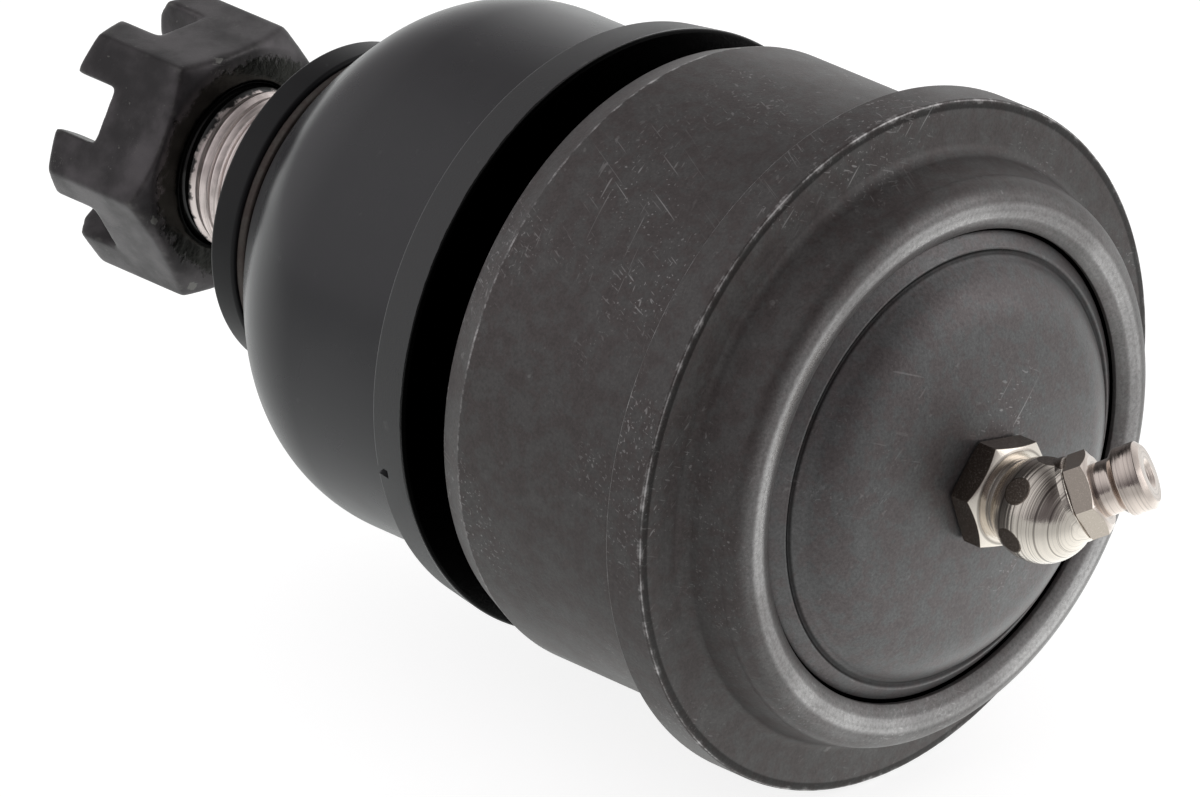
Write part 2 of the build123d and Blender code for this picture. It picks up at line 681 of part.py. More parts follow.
# ------------------------------------------------------ check ball and spring
# The spring's fine round wire is drawn with six flats, to keep the coil light.
# The ball rests against the cone under the port.
cone_apex = port_start + NIPPLE_PORT_RADIUS / tan(radians(NIPPLE_CONE_ANGLE))
check_ball_at = cone_apex - CHECK_BALL_RADIUS / sin(radians(NIPPLE_CONE_ANGLE)) - CHECK_BALL_GAP
check_spring_start = nipple_stem_start + CHECK_SPRING_SEAT
with BuildPart() as check_ball:
    with Locations(fitting_centre + nipple_direction * check_ball_at):
        Sphere(CHECK_BALL_RADIUS)
check_ball.part.label = "check_ball"
export_step(check_ball.part, "parts/check_ball.step")

coil_radius = NIPPLE_BORE_RADIUS - CHECK_WIRE_RADIUS - CHECK_BALL_GAP
ball_touch = sqrt((CHECK_BALL_RADIUS + CHECK_WIRE_RADIUS) ** 2 - coil_radius ** 2)
coil_end = check_ball_at - ball_touch - CHECK_BALL_GAP
with BuildPart() as check_spring:
    with BuildLine():
        coil = Helix(
            CHECK_SPRING_PITCH,
            coil_end - check_spring_start,
            coil_radius,
            center=fitting_centre + nipple_direction * check_spring_start,
            direction=nipple_direction,
        )
    with BuildSketch(Plane(coil @ 0, z_dir=coil % 0)):
        RegularPolygon(CHECK_WIRE_RADIUS, HEX_SIDES)
    sweep(is_frenet=True)
check_spring.part.label = "check_spring"
export_step(check_spring.part, "parts/check_spring.step")
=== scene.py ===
"""Finished surfaces, light and camera for a press-in suspension ball joint.

Fields that hold lengths are in millimetres, and angles are in degrees. The
meshes are made in metres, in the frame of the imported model: the origin is the
ball's centre, +X runs to the cover and the grease fitting, and +Z is up.
"""

import logging
import math
from dataclasses import dataclass
from enum import Enum
from functools import reduce
from typing import Iterable, Sequence

import bmesh
import bpy
from mathutils import Matrix, Vector


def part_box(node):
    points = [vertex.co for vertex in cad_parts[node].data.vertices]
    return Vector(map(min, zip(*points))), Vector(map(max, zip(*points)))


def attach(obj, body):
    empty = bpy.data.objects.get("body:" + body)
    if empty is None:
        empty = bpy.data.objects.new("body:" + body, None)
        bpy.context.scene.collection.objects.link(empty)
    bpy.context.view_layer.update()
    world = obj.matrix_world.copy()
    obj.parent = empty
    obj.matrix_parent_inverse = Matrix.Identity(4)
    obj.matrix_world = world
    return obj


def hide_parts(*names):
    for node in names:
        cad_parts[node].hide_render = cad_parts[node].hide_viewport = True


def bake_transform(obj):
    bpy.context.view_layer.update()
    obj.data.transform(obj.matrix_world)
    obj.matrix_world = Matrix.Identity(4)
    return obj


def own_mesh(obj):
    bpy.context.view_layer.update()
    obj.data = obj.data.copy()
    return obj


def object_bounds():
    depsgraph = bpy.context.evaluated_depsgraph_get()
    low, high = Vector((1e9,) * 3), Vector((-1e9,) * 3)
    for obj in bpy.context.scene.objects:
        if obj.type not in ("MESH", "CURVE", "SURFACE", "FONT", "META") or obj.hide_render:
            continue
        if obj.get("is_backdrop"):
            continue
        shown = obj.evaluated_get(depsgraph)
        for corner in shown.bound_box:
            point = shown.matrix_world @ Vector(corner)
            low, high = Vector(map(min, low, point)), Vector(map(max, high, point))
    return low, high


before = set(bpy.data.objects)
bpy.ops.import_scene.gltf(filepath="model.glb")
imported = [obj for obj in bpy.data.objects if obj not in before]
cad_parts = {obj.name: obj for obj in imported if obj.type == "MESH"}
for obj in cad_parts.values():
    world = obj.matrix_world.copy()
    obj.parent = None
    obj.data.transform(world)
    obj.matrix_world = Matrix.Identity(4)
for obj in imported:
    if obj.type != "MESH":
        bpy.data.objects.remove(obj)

MM = 0.001
MERGE_DISTANCE = 1e-7
WELD_DISTANCE = 1e-6
COPLANAR_ANGLE = 0.4
SMOOTH_ANGLE = 24.0
LONGEST_REACH = 0.48
HEX_LEAN = math.tan(math.radians(30.0))
BLACK = (0.001, 0.001, 0.001)
WHITE = (1.0, 1.0, 1.0)
log = logging.getLogger("ball_joint")

Point = tuple[float, float]
Colour = tuple[float, float, float]


# --------------------------------------------------------------- outlines
@dataclass(frozen=True)
class Corner:
    """One corner of an outline that is turned about the X axis.

    Args:
        x: station along the axis.
        r: distance from the axis.
        rounding: radius that the corner is rounded to.
        steps: pieces that the rounding is divided into.
    """

    x: float
    r: float
    rounding: float = 0.0
    steps: int = 5


def arc(centre: Point, radius: float, start: float, end: float, steps: int) -> list[Corner]:
    """Points on an arc of an outline.

    Args:
        centre: station and distance from the axis of the arc's centre.
        radius: radius of the arc.
        start: angle of the first point, from +X towards the outside.
        end: angle of the last point.
        steps: pieces that the arc is divided into.

    Returns:
        The corners along the arc, both ends included.
    """
    angles = [math.radians(start + (end - start) * i / steps) for i in range(steps + 1)]
    return [Corner(centre[0] + radius * math.cos(a), centre[1] + radius * math.sin(a)) for a in angles]


def rounded(corners: Sequence[Corner], closed: bool = True) -> list[Point]:
    """Replaces the corners that have a rounding by arcs that meet both sides.

    Args:
        corners: the outline's corners in order.
        closed: whether the last corner joins the first.

    Returns:
        The outline's points, as station and distance from the axis.
    """
    points: list[Point] = []
    count = len(corners)
    for i, corner in enumerate(corners):
        here = Vector((corner.x, corner.r))
        at_end = not closed and i in (0, count - 1)
        if corner.rounding <= 0.0 or at_end:
            points.append((here.x, here.y))
            continue
        before = Vector((corners[i - 1].x, corners[i - 1].r)) - here
        after = Vector((corners[(i + 1) % count].x, corners[(i + 1) % count].r)) - here
        half = before.angle(after) / 2
        room = min(before.length, after.length) * LONGEST_REACH
        reach = min(corner.rounding / math.tan(half), room)
        radius = reach * math.tan(half)
        middle = (before.normalized() + after.normalized()).normalized()
        centre = here + middle * (radius / math.sin(half))
        first = here + before.normalized() * reach - centre
        last = here + after.normalized() * reach - centre
        sweep = first.angle_signed(last)
        for k in range(corner.steps + 1):
            spoke = first.copy()
            spoke.rotate(Matrix.Rotation(-sweep * k / corner.steps, 2))
            points.append((centre.x + spoke.x, centre.y + spoke.y))
    return points


def divided(points: Sequence[Point], longest: float, closed: bool = True) -> list[Point]:
    """Divides the long sides of an outline.

    Args:
        points: the outline's points.
        longest: no side of the result is longer than this.
        closed: whether the last point joins the first.

    Returns:
        The points of the same outline, with more of them.
    """
    result: list[Point] = []
    ends = list(points[1:]) + [points[0]] if closed else list(points[1:])
    for (x0, r0), (x1, r1) in zip(points, ends):
        pieces = max(1, math.ceil(math.hypot(x1 - x0, r1 - r0) / longest))
        result += [(x0 + (x1 - x0) * k / pieces, r0 + (r1 - r0) * k / pieces) for k in range(pieces)]
    if not closed:
        result.append(points[-1])
    return result


# ---------------------------------------------------------------- meshes
def turned(points: Sequence[Point], segments: int, closed: bool = True) -> bmesh.types.BMesh:
    """Spins an outline about the X axis.

    Args:
        points: the outline, as station and distance from the axis.
        segments: facets round the axis.
        closed: whether the outline joins its own start.

    Returns:
        The turned mesh, in metres.
    """
    mesh = bmesh.new()
    verts = [mesh.verts.new((x * MM, 0.0, r * MM)) for x, r in points]
    edges = [mesh.edges.new(pair) for pair in zip(verts, verts[1:])]
    if closed:
        edges.append(mesh.edges.new((verts[-1], verts[0])))
    spin(mesh, verts + edges, segments, 0.0)
    tidy(mesh)
    return mesh


def solid_turned(corners: Sequence[Corner], segments: int) -> bmesh.types.BMesh:
    """Turns a solid from an outline that starts and ends on the X axis.

    Args:
        corners: the outline's corners in order.
        segments: facets round the axis.

    Returns:
        The turned solid, in metres.
    """
    return turned(rounded(corners, closed=False), segments, closed=False)


def spin(mesh: bmesh.types.BMesh, geometry: list, segments: int, advance: float) -> None:
    """Spins geometry once round the X axis, and along it for a helix.

    Args:
        mesh: the mesh that holds the geometry.
        geometry: vertices and edges to spin.
        segments: steps in the turn.
        advance: distance along the axis in the whole turn, in millimetres.
    """
    bmesh.ops.spin(
        mesh,
        geom=geometry,
        cent=(0.0, 0.0, 0.0),
        axis=(1.0, 0.0, 0.0),
        dvec=(advance * MM / segments, 0.0, 0.0),
        angle=math.tau,
        space=Matrix.Identity(4),
        steps=segments,
        use_merge=advance == 0.0,
        use_normal_flip=False,
        use_duplicate=False,
    )


def tidy(mesh: bmesh.types.BMesh) -> None:
    """Merges doubled vertices and points every face outwards.

    Args:
        mesh: the mesh, changed in place.
    """
    bmesh.ops.remove_doubles(mesh, verts=mesh.verts, dist=MERGE_DISTANCE)
    bmesh.ops.dissolve_degenerate(mesh, edges=mesh.edges, dist=MERGE_DISTANCE)
    bmesh.ops.recalc_face_normals(mesh, faces=mesh.faces)


def prism(sides: int, radius: float, start: float, end: float, turn: float) -> bmesh.types.BMesh:
    """Regular prism along the X axis.

    Args:
        sides: number of flats.
        radius: centre to corner.
        start: station of one end.
        end: station of the other end.
        turn: angle of the first corner, from +Y towards +Z.

    Returns:
        The closed prism, in metres.
    """
    mesh = bmesh.new()
    placed = Matrix.Translation((start * MM, 0.0, 0.0)) @ Matrix.Rotation(math.radians(turn - 90.0), 4, "X")
    ring = bmesh.ops.create_circle(mesh, cap_ends=True, segments=sides, radius=radius * MM)["verts"]
    bmesh.ops.rotate(mesh, verts=ring, matrix=Matrix(((0, 0, 1), (1, 0, 0), (0, 1, 0))))
    bmesh.ops.transform(mesh, verts=ring, matrix=placed)
    side = bmesh.ops.extrude_face_region(mesh, geom=mesh.faces[:])["geom"]
    moved = [item for item in side if isinstance(item, bmesh.types.BMVert)]
    bmesh.ops.translate(mesh, verts=moved, vec=((end - start) * MM, 0.0, 0.0))
    bmesh.ops.recalc_face_normals(mesh, faces=mesh.faces)
    return mesh


def bar_corner(flats: float) -> float:
    """Distance from the centre to a corner of hexagon bar, from its size across flats."""
    return flats / 2 / math.cos(math.pi / 6)


def block(low: Sequence[float], high: Sequence[float], turn: float = 0.0) -> bmesh.types.BMesh:
    """Rectangular block between two corners, turned about the X axis.

    Args:
        low: lowest corner.
        high: highest corner.
        turn: angle about the X axis.

    Returns:
        The block, in metres.
    """
    mesh = bmesh.new()
    size = [(b - a) * MM for a, b in zip(low, high)]
    middle = [(b + a) / 2 * MM for a, b in zip(low, high)]
    shape = Matrix.Translation(middle) @ Matrix.Diagonal((*size, 1.0))
    placed = Matrix.Rotation(math.radians(turn), 4, "X") @ shape
    bmesh.ops.create_cube(mesh, size=1.0, matrix=placed)
    return mesh


def new_object(name: str, mesh: bmesh.types.BMesh) -> bpy.types.Object:
    """Puts a mesh in the scene as an object at the origin, and frees the source.

    Args:
        name: the object's name.
        mesh: the mesh to take.

    Returns:
        The new object.
    """
    data = bpy.data.meshes.new(name)
    mesh.to_mesh(data)
    mesh.free()
    piece = bpy.data.objects.new(name, data)
    bpy.context.scene.collection.objects.link(piece)
    return piece


class Cut(Enum):
    """How a tool shape changes a workpiece."""

    KEEP_COMMON = "INTERSECT"
    TAKE_AWAY = "DIFFERENCE"
    ADD = "UNION"


def machine(work: bpy.types.Object, tool: bmesh.types.BMesh, cut: Cut) -> None:
    """Joins, cuts or trims a workpiece with a tool shape.

    Args:
        work: the workpiece, changed in place.
        tool: the tool's shape, used up.
        cut: what the tool does.
    """
    helper = new_object("tool_shape", tool)
    step = work.modifiers.new("cut", "BOOLEAN")
    step.operation = cut.value
    step.solver = "EXACT"
    step.object = helper
    bake(work)
    bpy.data.objects.remove(helper)


def bake(work: bpy.types.Object) -> None:
    """Makes the result of an object's modifiers its own mesh.

    Args:
        work: the object, changed in place.
    """
    bpy.context.view_layer.update()
    shown = work.evaluated_get(bpy.context.evaluated_depsgraph_get())
    result = bpy.data.meshes.new_from_object(shown)
    work.modifiers.clear()
    work.data = result


def clean(work: bpy.types.Object) -> None:
    """Merges doubled vertices of an object's mesh and joins its coplanar faces.

    Args:
        work: the object, changed in place.
    """
    mesh = bmesh.new()
    mesh.from_mesh(work.data)
    bmesh.ops.remove_doubles(mesh, verts=mesh.verts, dist=2 * WELD_DISTANCE)
    bmesh.ops.dissolve_limit(
        mesh,
        angle_limit=math.radians(COPLANAR_ANGLE),
        verts=mesh.verts,
        edges=mesh.edges,
    )
    bmesh.ops.recalc_face_normals(mesh, faces=mesh.faces)
    mesh.to_mesh(work.data)
    mesh.free()


def soften(work: bpy.types.Object, width: float, segments: int = 3, angle: float = 30.0) -> None:
    """Rounds the sharp edges of an object and makes it the object's own mesh.

    Args:
        work: the object, changed in place.
        width: width of the rounding.
        segments: facets across the rounding.
        angle: edges that turn by less stay as they are.
    """
    step = work.modifiers.new("soft_edges", "BEVEL")
    step.width = width * MM
    step.segments = segments
    step.profile = 0.5
    step.limit_method = "ANGLE"
    step.angle_limit = math.radians(angle)
    step.miter_outer = "MITER_ARC"
    bake(work)


def forge(work: bpy.types.Object, grid: float, passes: int) -> None:
    """Gives an object the soft edges of a forging.

    Args:
        work: the object, changed in place.
        grid: size of the facets that it is divided into.
        passes: smoothing passes over the facets.
    """
    facets = work.modifiers.new("facets", "REMESH")
    facets.mode = "VOXEL"
    facets.voxel_size = grid * MM
    step = work.modifiers.new("soft_edges", "SMOOTH")
    step.factor = 0.5
    step.iterations = passes
    fewer = work.modifiers.new("fewer_facets", "DECIMATE")
    fewer.ratio = 0.35
    bake(work)


def moved_onto(work: bpy.types.Object, matrix: Matrix) -> None:
    """Moves an object's mesh, and leaves the object itself at the origin."""
    work.data.transform(matrix)
    work.data.update()


def shade(work: bpy.types.Object) -> None:
    """Shades an object smooth with flat faces kept flat, except at sharp edges.

    Args:
        work: the object, changed in place.
    """
    work.data.polygons.foreach_set("use_smooth", [True] * len(work.data.polygons))
    work.data.set_sharp_from_angle(angle=math.radians(SMOOTH_ANGLE))
    step = work.modifiers.new("flat_faces", "WEIGHTED_NORMAL")
    step.keep_sharp = True
    bake(work)
    work.data.update()


# ---------------------------------------------------------- shader nodes
Feed = bpy.types.NodeSocket | float | tuple


class Graph:
    """Adds the nodes of one material or node group and joins them."""

    def __init__(self, tree: bpy.types.NodeTree) -> None:
        """Takes the tree to work in, and empties it."""
        self.tree = tree
        self.tree.nodes.clear()

    def add(
        self, kind: str, feeds: dict[str | int, Feed] | None = None, **settings: object
    ) -> bpy.types.Node:
        """Adds a node.

        Args:
            kind: the node's type name, without its ShaderNode prefix.
            feeds: sockets or values for its inputs, by name or number.
            settings: other properties of the node.

        Returns:
            The new node.
        """
        node = self.tree.nodes.new(kind if kind.startswith("Node") else "ShaderNode" + kind)
        for name, value in settings.items():
            setattr(node, name, value)
        for key, value in (feeds or {}).items():
            self.feed(node.inputs[key], value)
        return node

    def feed(self, socket: bpy.types.NodeSocket, value: Feed) -> None:
        """Joins an output to an input, or sets the input to a value.

        Args:
            socket: the input.
            value: another node's output, or the value itself.
        """
        if isinstance(value, bpy.types.NodeSocket):
            self.tree.links.new(value, socket)
        elif isinstance(value, tuple) and len(value) == 3 and socket.type == "RGBA":
            socket.default_value = (*value, 1.0)
        else:
            socket.default_value = value

    def math(self, operation: str, first: Feed, second: Feed = 0.0) -> bpy.types.NodeSocket:
        """Result of one operation on two numbers."""
        return self.add("Math", {0: first, 1: second}, operation=operation).outputs[0]

    def joined(self, value: Feed) -> bpy.types.NodeSocket:
        """Vector whose three parts are all the same number."""
        return self.add("CombineXYZ", {0: value, 1: value, 2: value}).outputs[0]

    def clamp(self, value: Feed) -> bpy.types.NodeSocket:
        """The number kept between 0 and 1."""
        return self.add("Clamp", {0: value}).outputs[0]

    def ramp(self, value: Feed, low: Feed, high: Feed) -> bpy.types.NodeSocket:
        """Smooth step from 0, where the value is low, to 1, where it is high."""
        feeds = {"Value": value, "From Min": low, "From Max": high}
        return self.add("MapRange", feeds, interpolation_type="SMOOTHSTEP").outputs[0]

    def product(self, *factors: Feed) -> bpy.types.NodeSocket:
        """Product of two or more numbers, taken from the left."""
        return reduce(lambda first, second: self.math("MULTIPLY", first, second), factors)

    def ragged(self, noise: Feed, height: float) -> bpy.types.NodeSocket:
        """Noise centred on 0, with a height, that makes an edge ragged."""
        return self.product(self.math("SUBTRACT", noise, 0.5), height)

    def along(self, vector: Feed, direction: Feed) -> bpy.types.NodeSocket:
        """Distance of a place along a direction."""
        return self.add("VectorMath", {0: vector, 1: direction}, operation="DOT_PRODUCT").outputs["Value"]

    def mix(self, factor: Feed, first: Feed, second: Feed) -> bpy.types.NodeSocket:
        """Colour between two colours.

        Args:
            factor: how much of the second colour there is.
            first: colour where the factor is 0.
            second: colour where the factor is 1.

        Returns:
            The mixed colour.
        """
        node = self.add("Mix", data_type="RGBA")
        for key, value in ((0, factor), (6, first), (7, second)):
            self.feed(node.inputs[key], value)
        return node.outputs[2]

    def blend(self, factor: Feed, first: Feed, second: Feed) -> bpy.types.NodeSocket:
        """Number between two numbers."""
        return self.add("Mix", {0: factor, 2: first, 3: second}, data_type="FLOAT").outputs[0]

    def noise(
        self, vector: Feed, scale: Feed, detail: float = 3.0, roughness: float = 0.6
    ) -> bpy.types.NodeSocket:
        """Value of a noise texture."""
        feeds = {"Vector": vector, "Scale": scale, "Detail": detail, "Roughness": roughness}
        return self.add("TexNoise", feeds).outputs["Fac"]

    def group(self, name: str, feeds: dict[str, Feed]) -> bpy.types.Node:
        """Places one of the shared node groups.

        Args:
            name: the group's name.
            feeds: sockets or values for its inputs, by name.

        Returns:
            The group's node.
        """
        node = self.tree.nodes.new("ShaderNodeGroup")
        node.node_tree = bpy.data.node_groups[name]
        for key, value in feeds.items():
            self.feed(node.inputs[key], value)
        return node


def new_group(
    name: str, inputs: dict[str, str], outputs: Iterable[str]
) -> tuple[Graph, bpy.types.Node, bpy.types.Node]:
    """Starts a shared node group.

    Args:
        name: the group's name.
        inputs: the type of each input socket, by name.
        outputs: names of the number outputs.

    Returns:
        The group's graph, its input node and its output node.
    """
    tree = bpy.data.node_groups.new(name, "ShaderNodeTree")
    for socket, kind in inputs.items():
        tree.interface.new_socket(socket, in_out="INPUT", socket_type=kind)
    for socket in outputs:
        tree.interface.new_socket(socket, in_out="OUTPUT", socket_type="NodeSocketFloat")
    graph = Graph(tree)
    return graph, graph.add("NodeGroupInput"), graph.add("NodeGroupOutput")


NUMBER = "NodeSocketFloat"
VECTOR = "NodeSocketVector"


def make_axis_group() -> None:
    """Station along the X axis and distance from it, both in millimetres."""
    graph, given, result = new_group("axis_place", {"Vector": VECTOR}, ("Station", "Radius"))
    parts = graph.add("SeparateXYZ", {0: given.outputs["Vector"]})
    y_squared = graph.product(parts.outputs[1], parts.outputs[1])
    z_squared = graph.product(parts.outputs[2], parts.outputs[2])
    radius = graph.math("SQRT", graph.math("ADD", y_squared, z_squared))
    graph.feed(result.inputs["Station"], graph.math("DIVIDE", parts.outputs[0], MM))
    graph.feed(result.inputs["Radius"], graph.math("DIVIDE", radius, MM))


def make_band_group() -> None:
    """Mask that is 1 between two values and fades out over a feather at each side."""
    inputs = {"Value": NUMBER, "Low": NUMBER, "High": NUMBER, "Feather": NUMBER}
    graph, given, result = new_group("band", inputs, ("Mask",))
    value, low, high, feather = (given.outputs[k] for k in inputs)
    rise = graph.ramp(value, graph.math("SUBTRACT", low, feather), low)
    fall = graph.ramp(value, high, graph.math("ADD", high, feather))
    graph.feed(result.inputs["Mask"], graph.product(rise, graph.math("SUBTRACT", 1.0, fall)))


def make_grain_group() -> None:
    """Crystalline grain of a coated or moulded surface, and slow cloudy variation."""
    inputs = {"Vector": VECTOR, "Grain": NUMBER, "Cloud": NUMBER}
    graph, given, result = new_group("surface_grain", inputs, ("Fine", "Cloudy", "Mottled", "Speck"))
    vector = given.outputs["Vector"]
    fine = graph.noise(vector, graph.math("DIVIDE", 1.0 / MM, given.outputs["Grain"]), 4.0, 0.7)
    cloud_scale = graph.math("DIVIDE", 1.0 / MM, given.outputs["Cloud"])
    cloudy = graph.noise(vector, cloud_scale, 5.0, 0.55)
    mottled = graph.noise(vector, graph.product(cloud_scale, 5.0), 4.0, 0.65)
    speck = graph.noise(vector, graph.product(cloud_scale, 9.0), 2.0, 0.5)
    graph.feed(result.inputs["Mottled"], graph.ramp(mottled, 0.30, 0.70))
    graph.feed(result.inputs["Fine"], fine)
    graph.feed(result.inputs["Cloudy"], graph.ramp(cloudy, 0.32, 0.68))
    graph.feed(result.inputs["Speck"], graph.ramp(speck, 0.70, 0.78))


def make_scuff_group() -> None:
    """Thin straight handling scratches that run in three directions, in patches."""
    inputs = {"Vector": VECTOR, "Length": NUMBER, "Amount": NUMBER}
    graph, given, result = new_group("handling_scuffs", inputs, ("Mask",))
    turns = ((0.7, 0.0, 0.2), (-0.4, 0.0, -0.3), (0.2, 0.0, 1.2))
    drawn_out = (1.0, 70.0, 1.0)
    vector = given.outputs["Vector"]
    lines: Feed = 0.0
    for number, turn in enumerate(turns):
        feeds = {"Vector": vector, "Rotation": turn, "Scale": drawn_out}
        aligned = graph.add("Mapping", feeds, vector_type="TEXTURE").outputs[0]
        scale = graph.math("DIVIDE", (22.0 + 5.0 * number) / MM, given.outputs["Length"])
        needles = graph.ramp(graph.noise(aligned, scale, 1.0, 0.5), 0.675, 0.74)
        lines = graph.math("MAXIMUM", lines, needles)
    patch = graph.noise(vector, graph.math("DIVIDE", 0.6 / MM, given.outputs["Length"]), 2.0, 0.5)
    limit = graph.math("SUBTRACT", 0.78, graph.product(given.outputs["Amount"], 0.38))
    patch_mask = graph.ramp(patch, limit, graph.math("ADD", limit, 0.25))
    graph.feed(result.inputs["Mask"], graph.product(lines, patch_mask))


def make_ring_group() -> None:
    """Turning marks: fine rings about an axis, from its station and radius."""
    inputs = {"Along": NUMBER, "Across": NUMBER, "Pitch": NUMBER}
    graph, given, result = new_group("turning_marks", inputs, ("Height", "Bold"))
    place = graph.math("ADD", given.outputs["Along"], graph.product(given.outputs["Across"], 0.83))
    counted = graph.math("DIVIDE", place, given.outputs["Pitch"])
    fine_feeds = {"W": counted, "Scale": 1.0, "Detail": 3.0}
    bold_feeds = {"W": graph.product(counted, 0.37), "Scale": 1.0, "Detail": 1.0}
    fine = graph.add("TexNoise", fine_feeds, noise_dimensions="1D")
    bold = graph.add("TexNoise", bold_feeds, noise_dimensions="1D")
    graph.feed(result.inputs["Height"], fine.outputs["Fac"])
    graph.feed(result.inputs["Bold"], graph.ramp(bold.outputs["Fac"], 0.35, 0.65))


def make_groups() -> None:
    """Makes every shared node group once."""
    make_axis_group()
    make_band_group()
    make_grain_group()
    make_scuff_group()
    make_ring_group()


# --------------------------------------------------------------- finishes
@dataclass(frozen=True)
class Finish:
    """A finish: a name, a base colour and how rough it is."""

    name: str
    colour: Colour
    roughness: float

    def make(self) -> bpy.types.Material:
        """Makes the finish's material once, and returns it afterwards.

        Returns:
            The material.
        """
        known = bpy.data.materials.get(self.name)
        if known:
            return known
        material = bpy.data.materials.new(self.name)
        material.use_nodes = True
        material.diffuse_color = (*self.colour, 1.0)
        graph = Graph(material.node_tree)
        shader = graph.add("BsdfPrincipled", {"Base Color": self.colour, "Roughness": self.roughness})
        graph.add("OutputMaterial", {"Surface": shader.outputs[0]})
        place = graph.add("TexCoord").outputs["Object"]
        self.dress(graph, shader, place)
        return material

    def dress(self, graph: Graph, shader: bpy.types.Node, place: bpy.types.NodeSocket) -> None:
        """Adds the finish's own nodes to its shader.

        Args:
            graph: the material's nodes.
            shader: the node that takes the finish.
            place: place on the piece, in metres.
        """


def bump(graph: Graph, shader: bpy.types.Node, height: Feed, depth: float) -> None:
    """Feeds a height, with its depth in millimetres, to the shader's normal."""
    node = graph.add("Bump", {"Height": height, "Distance": depth * MM, "Strength": 1.0})
    graph.feed(shader.inputs["Normal"], node.outputs[0])


@dataclass(frozen=True)
class Zone:
    """A band of a turned piece, by station and by radius.

    Args:
        low: lowest station.
        high: highest station.
        inner: smallest radius.
        outer: largest radius.
        feather: width over which the band fades out.
        amount: strength inside the band.
    """

    low: float
    high: float
    inner: float
    outer: float
    feather: float
    amount: float

    def mask(self, graph: Graph, where: bpy.types.Node) -> bpy.types.NodeSocket:
        """Strength of the band at a place.

        Args:
            graph: the material's nodes.
            where: the node that gives the place's station and radius.

        Returns:
            The strength, between 0 and the amount.
        """
        spans = (("Station", self.low, self.high), ("Radius", self.inner, self.outer))
        masks = []
        for name, low, high in spans:
            feeds = {"Value": where.outputs[name], "Low": low, "High": high, "Feather": self.feather}
            masks.append(graph.group("band", feeds).outputs[0])
        return graph.product(*masks, self.amount)


@dataclass(frozen=True)
class PhosphateCoat(Finish):
    """Dark phosphate on steel, rubbed bright or polished in some places, and painted black as shade in gaps
    and creases.

    Args:
        bare: colour of the steel under the coat.
        grain: size of the coat's crystals.
        depth: height of the crystals.
        metallic: how much the coat shines like the steel under it.
        mottle: contrast of the darker and lighter patches.
        scuffs: amount of handling scratches.
        chipped: edges where the coat is chipped off.
        polished: bands that are rubbed smooth.
        painted_shade_bands: bands painted black as shade, in gaps and creases.
    """

    bare: Colour = (0.40, 0.39, 0.39)
    grain: float = 0.30
    depth: float = 0.022
    metallic: float = 0.6
    mottle: float = 0.20
    scuffs: float = 0.45
    chipped: tuple[Zone, ...] = ()
    polished: tuple[Zone, ...] = ()
    painted_shade_bands: tuple[Zone, ...] = ()

    def dress(self, graph: Graph, shader: bpy.types.Node, place: bpy.types.NodeSocket) -> None:
        """Adds grain, clouds, scuffs, the worn and polished bands, and the bands of painted shade.

        Args:
            graph: the material's nodes.
            shader: the node that takes the finish.
            place: place on the piece, in metres.
        """
        where = graph.group("axis_place", {"Vector": place})
        grain = graph.group("surface_grain", {"Vector": place, "Grain": self.grain, "Cloud": 10.0})
        scuff = graph.group("handling_scuffs", {"Vector": place, "Length": 8.0, "Amount": self.scuffs})
        along = {"Along": where.outputs["Station"], "Across": where.outputs["Radius"], "Pitch": 0.35}
        rings = graph.group("turning_marks", along)
        patches = graph.blend(grain.outputs["Mottled"], 1.0 - self.mottle, 1.0 + self.mottle)
        tone = graph.product(graph.blend(grain.outputs["Fine"], 0.35, 1.65), patches)
        warm = tuple(c * k for c, k in zip(self.colour, (1.05, 0.985, 0.98)))
        cool = tuple(c * k for c, k in zip(self.colour, (0.96, 1.01, 1.01)))
        tint = graph.mix(graph.ramp(grain.outputs["Mottled"], 0.3, 0.7), warm, cool)
        shades = {0: tint, 1: graph.joined(tone)}
        colour = graph.add("VectorMath", shades, operation="MULTIPLY").outputs[0]
        rough = graph.blend(grain.outputs["Cloudy"], self.roughness + 0.03, self.roughness - 0.03)
        metal: Feed = self.metallic
        uneven = graph.ramp(graph.noise(place, 0.05 / MM, 2.0), 0.38, 0.60)
        streaks = graph.product(
            graph.blend(rings.outputs["Height"], 0.60, 1.35),
            graph.blend(uneven, 0.55, 1.10),
            graph.blend(grain.outputs["Fine"], 0.10, 1.95),
        )
        for zone in self.polished:
            mask = graph.clamp(graph.product(zone.mask(graph, where), streaks))
            colour = graph.mix(mask, colour, self.bare)
            rough = graph.blend(mask, rough, 0.24)
            metal = graph.blend(mask, metal, 0.85)
        scratched = graph.product(scuff.outputs["Mask"], 0.27)
        worn = graph.math("MAXIMUM", scratched, graph.product(grain.outputs["Speck"], 0.10))
        ragged = graph.ragged(graph.noise(place, 0.55 / MM, 5.0, 0.72), 1.7)
        for zone in self.chipped:
            edge = graph.math("ADD", zone.mask(graph, where), ragged)
            worn = graph.math("MAXIMUM", worn, graph.product(graph.ramp(edge, 0.55, 1.15), 0.8))
        # Painted shade: black, fully metallic bands stand for the shade in gaps and creases.
        for zone in self.painted_shade_bands:
            mask = zone.mask(graph, where)
            colour = graph.mix(mask, colour, BLACK)
            rough = graph.blend(mask, rough, 0.25)
            metal = graph.blend(mask, metal, 1.0)
            worn = graph.product(worn, graph.math("SUBTRACT", 1.0, mask))
        colour = graph.mix(worn, colour, tuple(min(1.0, c * 1.7) for c in self.bare))
        graph.feed(shader.inputs["Base Color"], colour)
        graph.feed(shader.inputs["Roughness"], graph.blend(worn, rough, 0.34))
        graph.feed(shader.inputs["Metallic"], graph.blend(worn, metal, 0.9))
        height = graph.math("SUBTRACT", grain.outputs["Fine"], graph.product(worn, 0.5))
        bump(graph, shader, height, self.depth)


